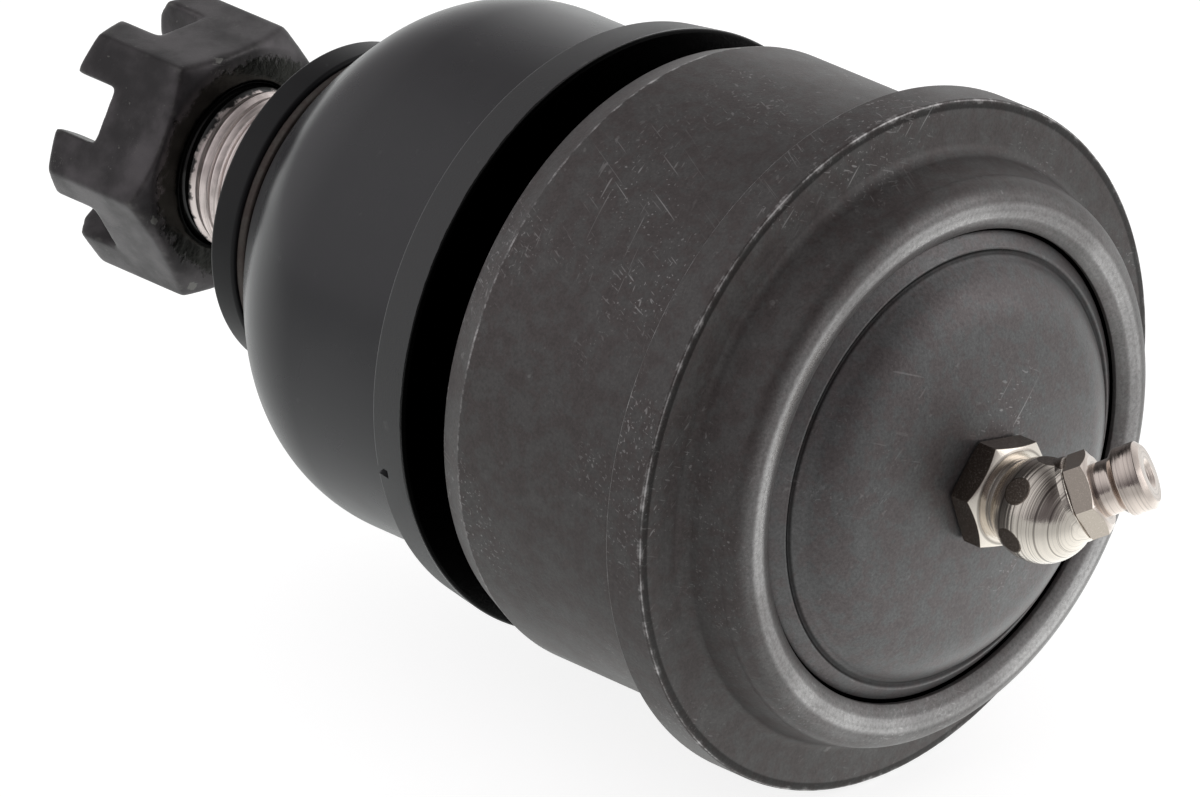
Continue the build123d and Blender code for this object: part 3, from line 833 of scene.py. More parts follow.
@dataclass(frozen=True)
class OiledNut(Finish):
    """Black oxide with an oily ring round the bore and lighter worn edges.

    Args:
        worn: colour of the worn edges.
        oil_radius: distance from the axis that the oil reaches.
        face: station of the oily face.
    """

    worn: Colour = (0.20, 0.20, 0.185)
    oil_radius: float = 10.7
    face: float = -74.0

    def dress(self, graph: Graph, shader: bpy.types.Node, place: bpy.types.NodeSocket) -> None:
        """Adds scale, worn edges and the oil.

        Args:
            graph: the material's nodes.
            shader: the node that takes the finish.
            place: place on the piece, in metres.
        """
        where = graph.group("axis_place", {"Vector": place})
        grain = graph.group("surface_grain", {"Vector": place, "Grain": 0.16, "Cloud": 5.5})
        scuff = graph.group("handling_scuffs", {"Vector": place, "Length": 3.0, "Amount": 0.7})
        dark, light = (tuple(c * k for c in self.colour) for k in (0.55, 1.55))
        colour = graph.mix(grain.outputs["Cloudy"], dark, light)
        pointed = graph.add("NewGeometry").outputs["Pointiness"]
        pointed = graph.math("ADD", pointed, graph.ragged(graph.noise(place, 1.1 / MM), 0.06))
        edge = graph.product(graph.ramp(pointed, 0.512, 0.56), 0.6)
        worn = graph.math("MAXIMUM", edge, graph.product(scuff.outputs["Mask"], 0.6))
        worn = graph.math("MAXIMUM", worn, graph.product(grain.outputs["Speck"], 0.45))
        colour = graph.mix(worn, colour, self.worn)
        wavy = graph.ragged(graph.noise(place, 0.5 / MM, 4.0), 4.0)
        reach = graph.math("ADD", where.outputs["Radius"], wavy)
        near_bore = graph.ramp(reach, self.oil_radius + 0.5, self.oil_radius - 0.4)
        at_face = graph.ramp(where.outputs["Station"], self.face - 1.6, self.face - 1.3)
        oil = graph.product(near_bore, at_face)
        colour = graph.mix(oil, colour, (0.020, 0.020, 0.018))
        graph.feed(shader.inputs["Base Color"], colour)
        rough = graph.blend(grain.outputs["Cloudy"], self.roughness + 0.06, self.roughness - 0.06)
        graph.feed(shader.inputs["Roughness"], graph.blend(oil, rough, 0.16))
        graph.feed(shader.inputs["Metallic"], graph.blend(oil, 0.65, 1.0))
        lumps = graph.product(graph.noise(place, 0.45 / MM), oil, 5.0)
        bump(graph, shader, graph.math("ADD", grain.outputs["Fine"], lumps), 0.016)


@dataclass(frozen=True)
class TurnedMetal(Finish):
    """Bright turned or rolled metal with rings about one axis.

    Args:
        pitch: distance between rings.
        depth: height of the rings.
        axis: direction of the axis of turning.
        centre: a point on that axis.
        tarnish: colour of the stains.
        stain: strength of the stains.
        grooves: how dark the deeper rings are.
        ball: radius of a turned ball round which the rings go by angle, or 0.
        flats: size across the flats of the bar, or 0 for round bar.
        flat_normal: direction that one flat of the bar faces.
        bar: colour of the flats, which keep the dark skin of the bar.
        grease: stations between which black grease lies on the metal.
    """

    pitch: float = 0.22
    depth: float = 0.012
    axis: Colour = (1.0, 0.0, 0.0)
    centre: Colour = (0.0, 0.0, 0.0)
    tarnish: Colour = (0.10, 0.085, 0.075)
    stain: float = 0.35
    grooves: float = 0.0
    ball: float = 0.0
    flats: float = 0.0
    flat_normal: Colour = (0.0, 1.0, 0.0)
    bar: Colour = (0.15, 0.12, 0.10)
    grease: Point | None = None

    def flat_mask(self, graph: Graph, shifted: bpy.types.NodeSocket) -> bpy.types.NodeSocket:
        """Mask of the places that lie on the flats of the bar.

        Args:
            graph: the material's nodes.
            shifted: place, measured from the axis of turning.

        Returns:
            The mask, 1 on a flat.
        """
        reach: Feed = 0.0
        for number in range(3):
            normal = Vector(self.flat_normal)
            normal.rotate(Matrix.Rotation(math.radians(60.0 * number), 3, Vector(self.axis)))
            across = graph.math("ABSOLUTE", graph.along(shifted, tuple(normal)))
            reach = graph.math("MAXIMUM", reach, across)
        half = self.flats / 2 * MM
        return graph.ramp(reach, half - 0.05 * MM, half - 0.02 * MM)

    def dress(self, graph: Graph, shader: bpy.types.Node, place: bpy.types.NodeSocket) -> None:
        """Adds turning marks, stains, the bar's skin and the grease.

        Args:
            graph: the material's nodes.
            shader: the node that takes the finish.
            place: place on the piece, in metres.
        """
        shift = tuple(c * MM for c in self.centre)
        shifted = graph.add("VectorMath", {0: place, 1: shift}, operation="SUBTRACT").outputs[0]
        along = graph.along(shifted, self.axis)
        whole = graph.add("VectorMath", {0: shifted}, operation="LENGTH").outputs["Value"]
        squares = graph.math("SUBTRACT", graph.product(whole, whole), graph.product(along, along))
        across = graph.math("SQRT", graph.math("MAXIMUM", squares, 0.0))
        feeds = {
            "Along": graph.math("DIVIDE", along, MM),
            "Across": graph.math("DIVIDE", across, MM),
            "Pitch": self.pitch,
        }
        if self.ball:
            turn = graph.math("ARCTAN2", across, along)
            feeds = {"Along": graph.product(turn, -self.ball), "Across": 0.0, "Pitch": self.pitch}
        marks = graph.group("turning_marks", feeds)
        grain = graph.group("surface_grain", {"Vector": place, "Grain": 0.16, "Cloud": 2.0})
        stained = graph.product(grain.outputs["Cloudy"], marks.outputs["Bold"], self.stain)
        colour = graph.mix(stained, self.colour, self.tarnish)
        groove = graph.ramp(marks.outputs["Height"], 0.47, 0.36)
        colour = graph.mix(graph.product(groove, self.grooves), colour, self.tarnish)
        rough = graph.blend(marks.outputs["Bold"], self.roughness, self.roughness + 0.10)
        metal: Feed = 1.0
        height = graph.math("ADD", marks.outputs["Height"], graph.product(grain.outputs["Fine"], 0.2))
        if self.flats:
            mask = self.flat_mask(graph, shifted)
            spots = graph.ramp(grain.outputs["Fine"], 0.50, 0.72)
            skin = graph.mix(graph.product(spots, 0.5), self.bar, self.colour)
            colour = graph.mix(mask, colour, skin)
            rough = graph.blend(mask, rough, self.roughness + 0.12)
            height = graph.blend(mask, height, graph.product(grain.outputs["Fine"], 0.4))
        if self.grease:
            low, high = self.grease
            station = graph.group("axis_place", {"Vector": place}).outputs["Station"]
            wavy = graph.math("ADD", station, graph.ragged(graph.noise(place, 0.7 / MM), 2.2))
            feeds = {"Value": wavy, "Low": low, "High": high, "Feather": 0.4}
            mask = graph.group("band", feeds).outputs[0]
            colour = graph.mix(mask, colour, (0.003, 0.003, 0.003))
            rough = graph.blend(mask, rough, 0.18)
            metal = graph.blend(mask, 1.0, 0.0)
        graph.feed(shader.inputs["Base Color"], colour)
        graph.feed(shader.inputs["Roughness"], rough)
        graph.feed(shader.inputs["Metallic"], metal)
        bump(graph, shader, height, self.depth)


@dataclass(frozen=True)
class Rubber(Finish):
    """Moulded rubber with a fine skin and dusty handling marks.

    Args:
        grain: size of the skin's grain.
        depth: height of the skin's grain.
        dust: strength of the dusty marks.
        cloud: size of the slow variation.
        glint: strength of the surface's own reflection.
        flash: edge with a pale mould line, if there is one.
        painted_shade_side: side that is painted black as shade, if there is one.
    """

    grain: float = 0.3
    depth: float = 0.006
    dust: float = 0.25
    cloud: float = 14.0
    glint: float = 0.5
    flash: Zone | None = None
    painted_shade_side: Zone | None = None

    def dress(self, graph: Graph, shader: bpy.types.Node, place: bpy.types.NodeSocket) -> None:
        """Adds the skin's grain, dust, scuffs, mould line and the side of painted shade.

        Args:
            graph: the material's nodes.
            shader: the node that takes the finish.
            place: place on the piece, in metres.
        """
        where = graph.group("axis_place", {"Vector": place})
        grain = graph.group("surface_grain", {"Vector": place, "Grain": self.grain, "Cloud": self.cloud})
        scuff = graph.group("handling_scuffs", {"Vector": place, "Length": 8.0, "Amount": self.dust})
        dusty = tuple(0.9 * c + 0.018 for c in self.colour)
        specks = graph.product(grain.outputs["Speck"], 0.5)
        marks = graph.math("MAXIMUM", specks, scuff.outputs["Mask"])
        colour = graph.mix(graph.product(grain.outputs["Cloudy"], 0.35), self.colour, dusty)
        colour = graph.mix(graph.product(marks, self.dust), colour, (0.22, 0.215, 0.21))
        rough = graph.blend(grain.outputs["Cloudy"], self.roughness - 0.03, self.roughness + 0.04)
        metal: Feed = 0.0
        shader.inputs["Specular IOR Level"].default_value = self.glint
        if self.flash:
            broken = graph.blend(graph.noise(place, 0.5 / MM, 4.0), 0.35, 1.25)
            line = graph.clamp(graph.product(self.flash.mask(graph, where), broken))
            colour = graph.mix(line, colour, (0.16, 0.16, 0.165))
        # Painted shade: a black, fully metallic side stands for the shade in a gap.
        if self.painted_shade_side:
            ragged = graph.ragged(graph.noise(place, 0.5 / MM, 4.0), 1.6)
            mask = graph.ramp(graph.math("ADD", self.painted_shade_side.mask(graph, where), ragged), 0.35, 0.60)
            colour = graph.mix(mask, colour, BLACK)
            rough = graph.blend(mask, rough, 0.20)
            metal = mask
        graph.feed(shader.inputs["Base Color"], colour)
        graph.feed(shader.inputs["Metallic"], metal)
        graph.feed(shader.inputs["Roughness"], rough)
        bump(graph, shader, grain.outputs["Fine"], self.depth)


HOUSING_COAT = PhosphateCoat(
    "housing_phosphate",
    (0.060, 0.053, 0.052),
    0.44,
    metallic=0.35,
    mottle=0.20,
    scuffs=0.85,
    chipped=(
        Zone(11.8, 12.2, 33.0, 33.5, 0.50, 0.58),
        Zone(11.95, 12.2, 33.2, 33.5, 0.12, 0.80),
        Zone(7.5, 7.75, 33.2, 33.5, 0.14, 0.74),
        Zone(-14.72, -14.52, 30.0, 30.3, 0.16, 0.72),
        Zone(-14.9, -14.2, 29.9, 30.3, 0.50, 0.42),
        Zone(-17.8, -17.4, 28.8, 29.2, 0.20, 0.52),
    ),
    polished=(
        Zone(17.9, 19.2, 23.6, 25.9, 1.3, 0.27),
        Zone(18.55, 19.2, 24.3, 25.3, 0.50, 0.70),
        Zone(-17.3, -14.8, 29.0, 30.1, 0.3, 0.08),
    ),
    # Painted shade: black in the gap between the housing's neck and the boot's foot ring, and a black line
    # along the flange's front edge.
    painted_shade_bands=(Zone(-40.0, -17.75, 0.0, 28.9, 0.3, 1.0), Zone(12.1, 12.4, 32.6, 33.0, 0.25, 0.65)),
)
COVER_COAT = PhosphateCoat(
    "cover_phosphate",
    (0.100, 0.094, 0.095),
    0.37,
    mottle=0.10,
    scuffs=0.65,
    polished=(Zone(17.4, 18.7, 21.5, 22.4, 0.4, 0.10), Zone(18.4, 19.4, 19.6, 20.3, 0.5, 0.08)),
    # Painted shade: black in the crease at the foot of the dome, and on the rim tucked under the housing's
    # lip.
    painted_shade_bands=(Zone(17.9, 18.60, 20.62, 20.98, 0.22, 0.75), Zone(14.0, 17.75, 22.6, 24.5, 0.15, 1.0)),
)
NUT_OXIDE = OiledNut("nut_black_oxide", (0.050, 0.0455, 0.048), 0.36)
RING_STEEL = PhosphateCoat("neck_ring_steel", (0.045, 0.036, 0.032), 0.42, scuffs=0.3)
STUD_METAL = TurnedMetal(
    "stud_rolled_steel", (0.96, 0.86, 0.83), 0.33, pitch=0.24, stain=0.58, grooves=0.32, grease=(-76.5, -73.3)
)
SPRING_STEEL = TurnedMetal("spring_tempered_steel", (0.36, 0.34, 0.33), 0.36, pitch=0.6, depth=0.006)
BOOT_RUBBER = Rubber("boot_smooth_rubber", (0.014, 0.0135, 0.0165), 0.27, grain=0.35, depth=0.004, dust=0.10)
COLLAR_RUBBER = Rubber(
    "collar_satin_rubber", (0.004, 0.004, 0.005), 0.36, grain=0.22, depth=0.010, dust=0.15, glint=0.20
)
RING_RUBBER = Rubber(
    "ring_grained_rubber",
    (0.015, 0.015, 0.0165),
    0.42,
    grain=0.24,
    depth=0.030,
    dust=0.25,
    flash=Zone(-27.3, -27.05, 28.5, 29.0, 0.10, 0.85),
    # Painted shade: black on the ring's face that looks into the gap against the housing.
    painted_shade_side=Zone(-22.85, -21.0, 20.0, 29.7, 0.30, 1.0),
)


# ----------------------------------------------------------------- pieces
def place_piece(piece: bpy.types.Object, body: str, finish: Finish, slot: str, *nodes: str) -> None:
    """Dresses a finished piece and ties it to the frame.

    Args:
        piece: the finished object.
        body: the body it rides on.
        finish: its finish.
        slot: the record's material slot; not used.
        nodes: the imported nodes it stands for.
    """
    shade(piece)
    piece.data.materials.clear()
    piece.data.materials.append(finish.make())
    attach(piece, body)
    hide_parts(*nodes)
    log.info("%s: %d faces", piece.name, len(piece.data.polygons))


@dataclass
class HousingGroup:
    """Housing with its rolled lip, and the cover plate that the lip holds."""

    segments: int = 256
    flange_radius: float = 33.35
    flange_back: float = 7.65
    flange_face: float = 12.0
    body_radius: float = 30.16
    body_end: float = -17.55
    chamfer_start: float = -14.6
    chamfer_radius: float = 29.06
    neck_radius: float = 24.4
    neck_end: float = -26.6
    bore_radius: float = 23.0
    shoulder: float = -13.217
    lip_outer: float = 27.55
    lip_roll: float = 2.5
    lip_crest: float = 18.8
    lip_edge: Point = (18.05, 22.87)
    cover_radius: float = 23.95
    cover_seat: float = 14.4
    cover_step: float = 18.6
    cover_step_radius: float = 21.2
    dome_radius: float = 20.5
    dome_apex: float = 24.0
    crown_slope: float = 13.0
    edge_slope: float = 57.0
    recess_radius: float = 24.0
    recess_end: float = 16.9
    shoulder_bore: float = 16.0
    neck_bore: float = 20.87
    cover_rim: float = 16.85
    pocket_radius: float = 19.0
    pocket_floor: float = 17.2
    fitting_bore: float = 3.2

    def make_housing(self) -> bpy.types.Object:
        """Turns the housing, from the flange over the lip to the bore and the neck.

        Returns:
            The piece.
        """
        roll_centre = (self.lip_crest - self.lip_roll, self.lip_outer - self.lip_roll)
        drop, width = self.lip_crest - self.lip_edge[0], roll_centre[1] - self.lip_edge[1]
        inner = (drop ** 2 + width ** 2) / (2 * drop)
        inner_turn = math.degrees(math.asin(width / inner))
        corners = [
            Corner(self.flange_back, self.body_radius, 0.35),
            Corner(self.flange_back, self.flange_radius, 0.22),
            Corner(self.flange_face, self.flange_radius, 0.30),
            Corner(self.flange_face + 0.35, 30.4, 3.8, 8),
            Corner(self.flange_face + 0.7, self.lip_outer + 0.95, 1.9, 8),
            *arc(roll_centre, self.lip_roll, 90.0, 0.0, 14),
            *arc((self.lip_crest - inner, roll_centre[1]), inner, 0.0, -inner_turn, 8)[1:-1],
            Corner(self.lip_edge[0], self.lip_edge[1], 0.12),
            Corner(self.lip_edge[0] - 0.45, self.lip_edge[1], 0.12),
            Corner(self.recess_end, self.recess_radius),
            Corner(self.cover_seat, self.recess_radius),
            Corner(self.cover_seat, self.bore_radius),
            Corner(self.shoulder, self.bore_radius),
            Corner(self.shoulder, self.shoulder_bore),
            Corner(self.neck_end, self.neck_bore, 0.3),
            Corner(self.neck_end, self.neck_radius, 0.6),
            Corner(self.body_end, self.neck_radius, 0.5),
            Corner(self.body_end, self.chamfer_radius, 0.18),
            Corner(self.chamfer_start, self.body_radius, 0.25),
        ]
        return new_object("housing_shell", turned(rounded(corners), self.segments))

    def make_cover(self) -> bpy.types.Object:
        """Turns the cover plate's dome, crease, rim and pocket.

        Returns:
            The piece.
        """
        crown, edge = math.radians(self.crown_slope), math.radians(self.edge_slope)
        rise = self.dome_apex - self.cover_step
        lift = math.cos(crown) - math.cos(edge) - math.tan(crown / 2) * (math.sin(edge) - math.sin(crown))
        shoulder = (rise - self.dome_radius * math.tan(crown / 2)) / lift
        sphere = (self.dome_radius - shoulder * (math.sin(edge) - math.sin(crown))) / math.sin(crown)
        shoulder_centre = (
            self.cover_step - shoulder * math.cos(edge),
            self.dome_radius - shoulder * math.sin(edge),
        )
        bore = math.degrees(math.asin(self.fitting_bore / sphere))
        corners = [
            *arc((self.dome_apex - sphere, 0.0), sphere, bore, self.crown_slope, 12),
            *arc(shoulder_centre, shoulder, self.crown_slope, self.edge_slope, 12)[1:],
            Corner(self.cover_step - 0.22, self.dome_radius + 0.3, 0.18),
            Corner(self.cover_step, self.cover_step_radius, 0.25),
            Corner(self.lip_edge[0] - 0.8, self.lip_edge[1], 0.3),
            Corner(self.cover_rim, self.cover_radius),
            Corner(self.cover_seat, self.cover_radius),
            Corner(self.cover_seat, self.pocket_radius),
            Corner(self.pocket_floor, self.pocket_radius),
            Corner(self.pocket_floor, self.fitting_bore),
        ]
        return new_object("cover_plate_domed", turned(rounded(corners), self.segments))

    def build(self) -> None:
        """Makes and places both pieces."""
        place_piece(self.make_housing(), "housing", HOUSING_COAT, "phosphated_steel", "housing")
        place_piece(self.make_cover(), "housing", COVER_COAT, "cover_steel", "cover_plate")


@dataclass
class BootGroup:
    """Base ring, domed boot, neck ring and sealing collar."""

    segments: int = 224
    ring_start: float = -22.4
    ring_end: float = -27.2
    ring_radius: float = 29.44
    ring_edge_radius: float = 28.74
    ring_bore: float = 24.45
    nick_turn: float = 193.2
    nick_depth: float = 0.7
    nick_low: Point = (-28.0, -1.0)
    nick_high: Point = (-25.6, -0.1)
    boot_foot: float = -27.25
    boot_radius: float = 26.1
    boot_wall: float = 1.8
    straight_end: float = -41.0
    shoulder_radius: float = 14.5
    shoulder_turn: float = 40.0
    nose_radius: float = 60.0
    boot_end: float = -57.45
    collar_radius: float = 16.2
    collar_start: float = -58.6
    collar_end: float = -61.8
    hub_radius: float = 11.5
    shank_radius: float = 7.99
    neck_ring_start: float = -57.5
    neck_ring_radius: float = 15.9
    cutter_radius: float = 31.0
    nose_wall: float = 2.0
    hub_overlap: float = 1.5
    hub_gap: float = 0.05

    def boot_line(self, inset: float, end: float) -> list[Corner]:
        """Outline of the boot at a depth inside its skin, from foot to nose.

        Args:
            inset: depth inside the outer skin.
            end: station where the outline stops.

        Returns:
            The corners, from foot to nose.
        """
        radius = self.boot_radius - inset
        shoulder = self.shoulder_radius - inset
        nose = self.nose_radius - inset
        turn = self.shoulder_turn
        centre = (self.straight_end, radius - shoulder)
        knuckle = math.radians(90.0 + turn)
        nose_centre = (
            centre[0] + (shoulder - nose) * math.cos(knuckle),
            centre[1] + (shoulder - nose) * math.sin(knuckle),
        )
        last = math.degrees(math.acos((end - nose_centre[0]) / nose))
        return [
            Corner(self.boot_foot, radius),
            *arc(centre, shoulder, 90.0, 90.0 + turn, 16),
            *arc(nose_centre, nose, 90.0 + turn, last, 10)[1:],
        ]

    def make_boot(self) -> bpy.types.Object:
        """Turns the boot's wall, closed round the collar's hub.

        Returns:
            The piece.
        """
        outer = self.boot_line(0.0, self.boot_end)
        inner = self.boot_line(self.boot_wall, self.boot_end + self.nose_wall)
        hub = self.hub_radius + self.hub_gap
        nose = [Corner(self.boot_end, hub), Corner(self.boot_end + self.nose_wall, hub)]
        corners = outer + nose + inner[::-1]
        return new_object("dust_boot_dome", turned(divided(rounded(corners), 1.2), self.segments))

    def make_ring(self) -> bpy.types.Object:
        """Turns the boot's thick foot ring.

        Returns:
            The piece.
        """
        corners = [
            Corner(self.ring_start, self.ring_bore),
            Corner(self.ring_start, self.ring_radius, 0.35),
            Corner(self.ring_end, self.ring_edge_radius, 0.30),
            Corner(self.ring_end, self.ring_bore, 0.2),
        ]
        ring = new_object("boot_foot_ring", turned(divided(rounded(corners), 1.5), self.segments))
        (start, left), (end, right) = self.nick_low, self.nick_high
        low = (start, self.ring_edge_radius - self.nick_depth, left)
        high = (end, self.cutter_radius, right)
        machine(ring, block(low, high, self.nick_turn), Cut.TAKE_AWAY)
        return ring

    def make_collar(self) -> bpy.types.Object:
        """Turns the sealing collar with its hub.

        Returns:
            The piece.
        """
        corners = [
            Corner(self.collar_start, self.hub_radius),
            Corner(self.collar_start, self.collar_radius, 0.45),
            Corner(self.collar_end, self.collar_radius, 0.45),
            Corner(self.collar_end, self.shank_radius, 0.3),
            Corner(self.boot_end + self.hub_overlap, self.shank_radius, 0.3),
            Corner(self.boot_end + self.hub_overlap, self.hub_radius),
        ]
        return new_object("sealing_collar", turned(divided(rounded(corners), 1.5), self.segments))

    def make_neck_ring(self) -> bpy.types.Object:
        """Turns the thin ring between boot and collar.

        Returns:
            The piece.
        """
        corners = [
            Corner(self.neck_ring_start, self.hub_radius),
            Corner(self.neck_ring_start, self.neck_ring_radius, 0.3),
            Corner(self.collar_start, self.neck_ring_radius, 0.3),
            Corner(self.collar_start, self.hub_radius),
        ]
        return new_object("collar_neck_ring", turned(rounded(corners), self.segments))

    def build(self) -> None:
        """Makes and places the four pieces."""
        place_piece(self.make_ring(), "housing", RING_RUBBER, "ring_rubber", "boot_base_ring")
        place_piece(self.make_collar(), "collar", COLLAR_RUBBER, "ring_rubber", "boot_collar")
        place_piece(self.make_neck_ring(), "collar", RING_STEEL, "phosphated_steel", "neck_ring")
        boot = self.make_boot()
        shade(boot)
        boot.data.materials.append(BOOT_RUBBER.make())
        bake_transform(boot)
        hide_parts("dust_boot")
        log.info("dust_boot_dome: %d faces", len(boot.data.polygons))


@dataclass
class StudGroup:
    """Ball stud with a rolled thread, and the slotted nut on it."""

    ball_radius: float = 17.46
    ball_flat: float = 12.5
    neck_radius: float = 8.6
    taper_start: float = -26.0
    taper_radius: float = 10.05
    taper_end: float = -54.0
    taper_end_radius: float = 8.3
    thread_radius: float = 7.9375
    thread_pitch: float = 25.4 / 18
    thread_depth: float = 0.34
    stud_end: float = -82.0
    end_chamfer: float = 1.2
    hole_station: float = -77.4
    hole_radius: float = 1.95
    nut_flats: float = 23.8125
    nut_face: float = -74.0
    nut_height: float = 14.4
    slot_width: float = 5.6
    slot_depth: float = 6.1
    face_radius: float = 11.6
    crown_radius: float = 10.5
    forge_grid: float = 0.22
    forge_passes: int = 30

    def make_thread(self) -> bmesh.types.BMesh:
        """Rolled thread as one helical ridge, capped flat at both ends.

        Returns:
            The closed thread.
        """
        pitch = self.thread_pitch
        first = self.stud_end - 2 * pitch
        turns = math.ceil((self.taper_end + 2 * pitch - first) / pitch)
        root = self.thread_radius - self.thread_depth
        crest = self.thread_radius
        shape = (
            (0.0, crest),
            (0.12, crest - 0.05),
            (0.40, root + 0.03),
            (0.60, root + 0.03),
            (0.88, crest - 0.05),
        )
        mesh = bmesh.new()
        points = [(first + (n + f) * pitch, r) for n in range(turns) for f, r in shape]
        verts = [mesh.verts.new((x * MM, 0.0, r * MM)) for x, r in points]
        verts.append(mesh.verts.new((verts[0].co.x + turns * pitch * MM, 0.0, verts[0].co.z)))
        edges = [mesh.edges.new(pair) for pair in zip(verts, verts[1:])]
        spin(mesh, verts + edges, 96, pitch)
        bmesh.ops.remove_doubles(mesh, verts=mesh.verts, dist=WELD_DISTANCE)
        for station, side in ((self.stud_end, -1.0), (self.taper_end - 0.3, 1.0)):
            bmesh.ops.bisect_plane(
                mesh,
                geom=mesh.verts[:] + mesh.edges[:] + mesh.faces[:],
                plane_co=(station * MM, 0.0, 0.0),
                plane_no=(side, 0.0, 0.0),
                clear_outer=True,
                dist=1e-7,
            )
            cut = (e for e in mesh.edges if e.is_boundary)
            rim = [e for e in cut if abs(e.verts[0].co.x - station * MM) < WELD_DISTANCE]
            bmesh.ops.edgeloop_fill(mesh, edges=rim)
        for vert in mesh.verts:
            radius = math.hypot(vert.co.y, vert.co.z)
            allowed = (self.thread_radius - self.end_chamfer) * MM + (vert.co.x - self.stud_end * MM)
            if radius > allowed > 0.0:
                vert.co.y *= allowed / radius
                vert.co.z *= allowed / radius
        bmesh.ops.recalc_face_normals(mesh, faces=mesh.faces)
        return mesh

    def make_stud(self) -> bpy.types.Object:
        """Turns the ball, neck and taper, and joins the thread to them.

        Returns:
            The piece.
        """
        neck_angle = 180.0 - math.degrees(math.asin(self.neck_radius / self.ball_radius))
        flat_angle = math.degrees(math.acos(self.ball_flat / self.ball_radius))
        corners = [
            Corner(self.ball_flat - 1.2, 0.0),
            Corner(self.ball_flat, 2.0),
            *arc((0.0, 0.0), self.ball_radius, flat_angle, neck_angle, 40),
            Corner(self.taper_start + 1.4, self.neck_radius, 1.5),
            Corner(self.taper_start, self.taper_radius, 0.5),
            Corner(self.taper_end, self.taper_end_radius, 0.3),
            Corner(self.taper_end - 0.6, self.thread_radius - self.thread_depth),
            Corner(self.taper_end - 0.6, 0.0),
        ]
        piece = new_object("ball_stud_threaded", solid_turned(corners, 128))
        machine(piece, self.make_thread(), Cut.ADD)
        hole = bmesh.new()
        bmesh.ops.create_cone(
            hole,
            cap_ends=True,
            segments=40,
            radius1=self.hole_radius * MM,
            radius2=self.hole_radius * MM,
            depth=4 * self.thread_radius * MM,
            matrix=Matrix.Translation((self.hole_station * MM, 0.0, 0.0)),
        )
        machine(piece, hole, Cut.TAKE_AWAY)
        return piece

    def make_nut(self) -> bpy.types.Object:
        """Cuts the nut from hexagon bar: turned ends, slots, bore and countersink.

        Returns:
            The piece.
        """
        corner = bar_corner(self.nut_flats)
        crown = self.nut_face - self.nut_height
        piece = new_object("slotted_nut_forged", prism(6, corner, crown, self.nut_face, 0.0))
        envelope = [
            Corner(self.nut_face + 1e-3, 0.0),
            Corner(self.nut_face + 1e-3, self.face_radius),
            Corner(self.nut_face - (corner + 1 - self.face_radius) * HEX_LEAN, corner + 1),
            Corner(crown + (corner + 1 - self.crown_radius) * HEX_LEAN, corner + 1),
            Corner(crown - 1e-3, self.crown_radius),
            Corner(crown - 1e-3, 0.0),
        ]
        machine(piece, solid_turned(envelope, 180), Cut.KEEP_COMMON)
        bore = [
            Corner(self.nut_face + 1.0, 0.0),
            Corner(self.nut_face + 1.0, self.thread_radius + 0.6),
            Corner(self.nut_face - 0.6, self.thread_radius + 0.05),
            Corner(crown + 0.7, self.thread_radius + 0.1),
            Corner(crown - 1.0, self.thread_radius + 1.8),
            Corner(crown - 1.0, 0.0),
        ]
        machine(piece, solid_turned(bore, 120), Cut.TAKE_AWAY)
        half = self.slot_width / 2
        for number in range(6):
            low = (crown - 2.0, 4.0, -half)
            high = (crown + self.slot_depth, corner + 2.0, half)
            machine(piece, block(low, high, 30.0 + 60.0 * number), Cut.TAKE_AWAY)
        forge(piece, self.forge_grid, self.forge_passes)
        return piece

    def build(self) -> None:
        """Makes and places the stud and the nut."""
        place_piece(self.make_stud(), "stud", STUD_METAL, "stud_steel", "ball_stud")
        place_piece(self.make_nut(), "stud", NUT_OXIDE, "nut_steel", "slotted_nut")


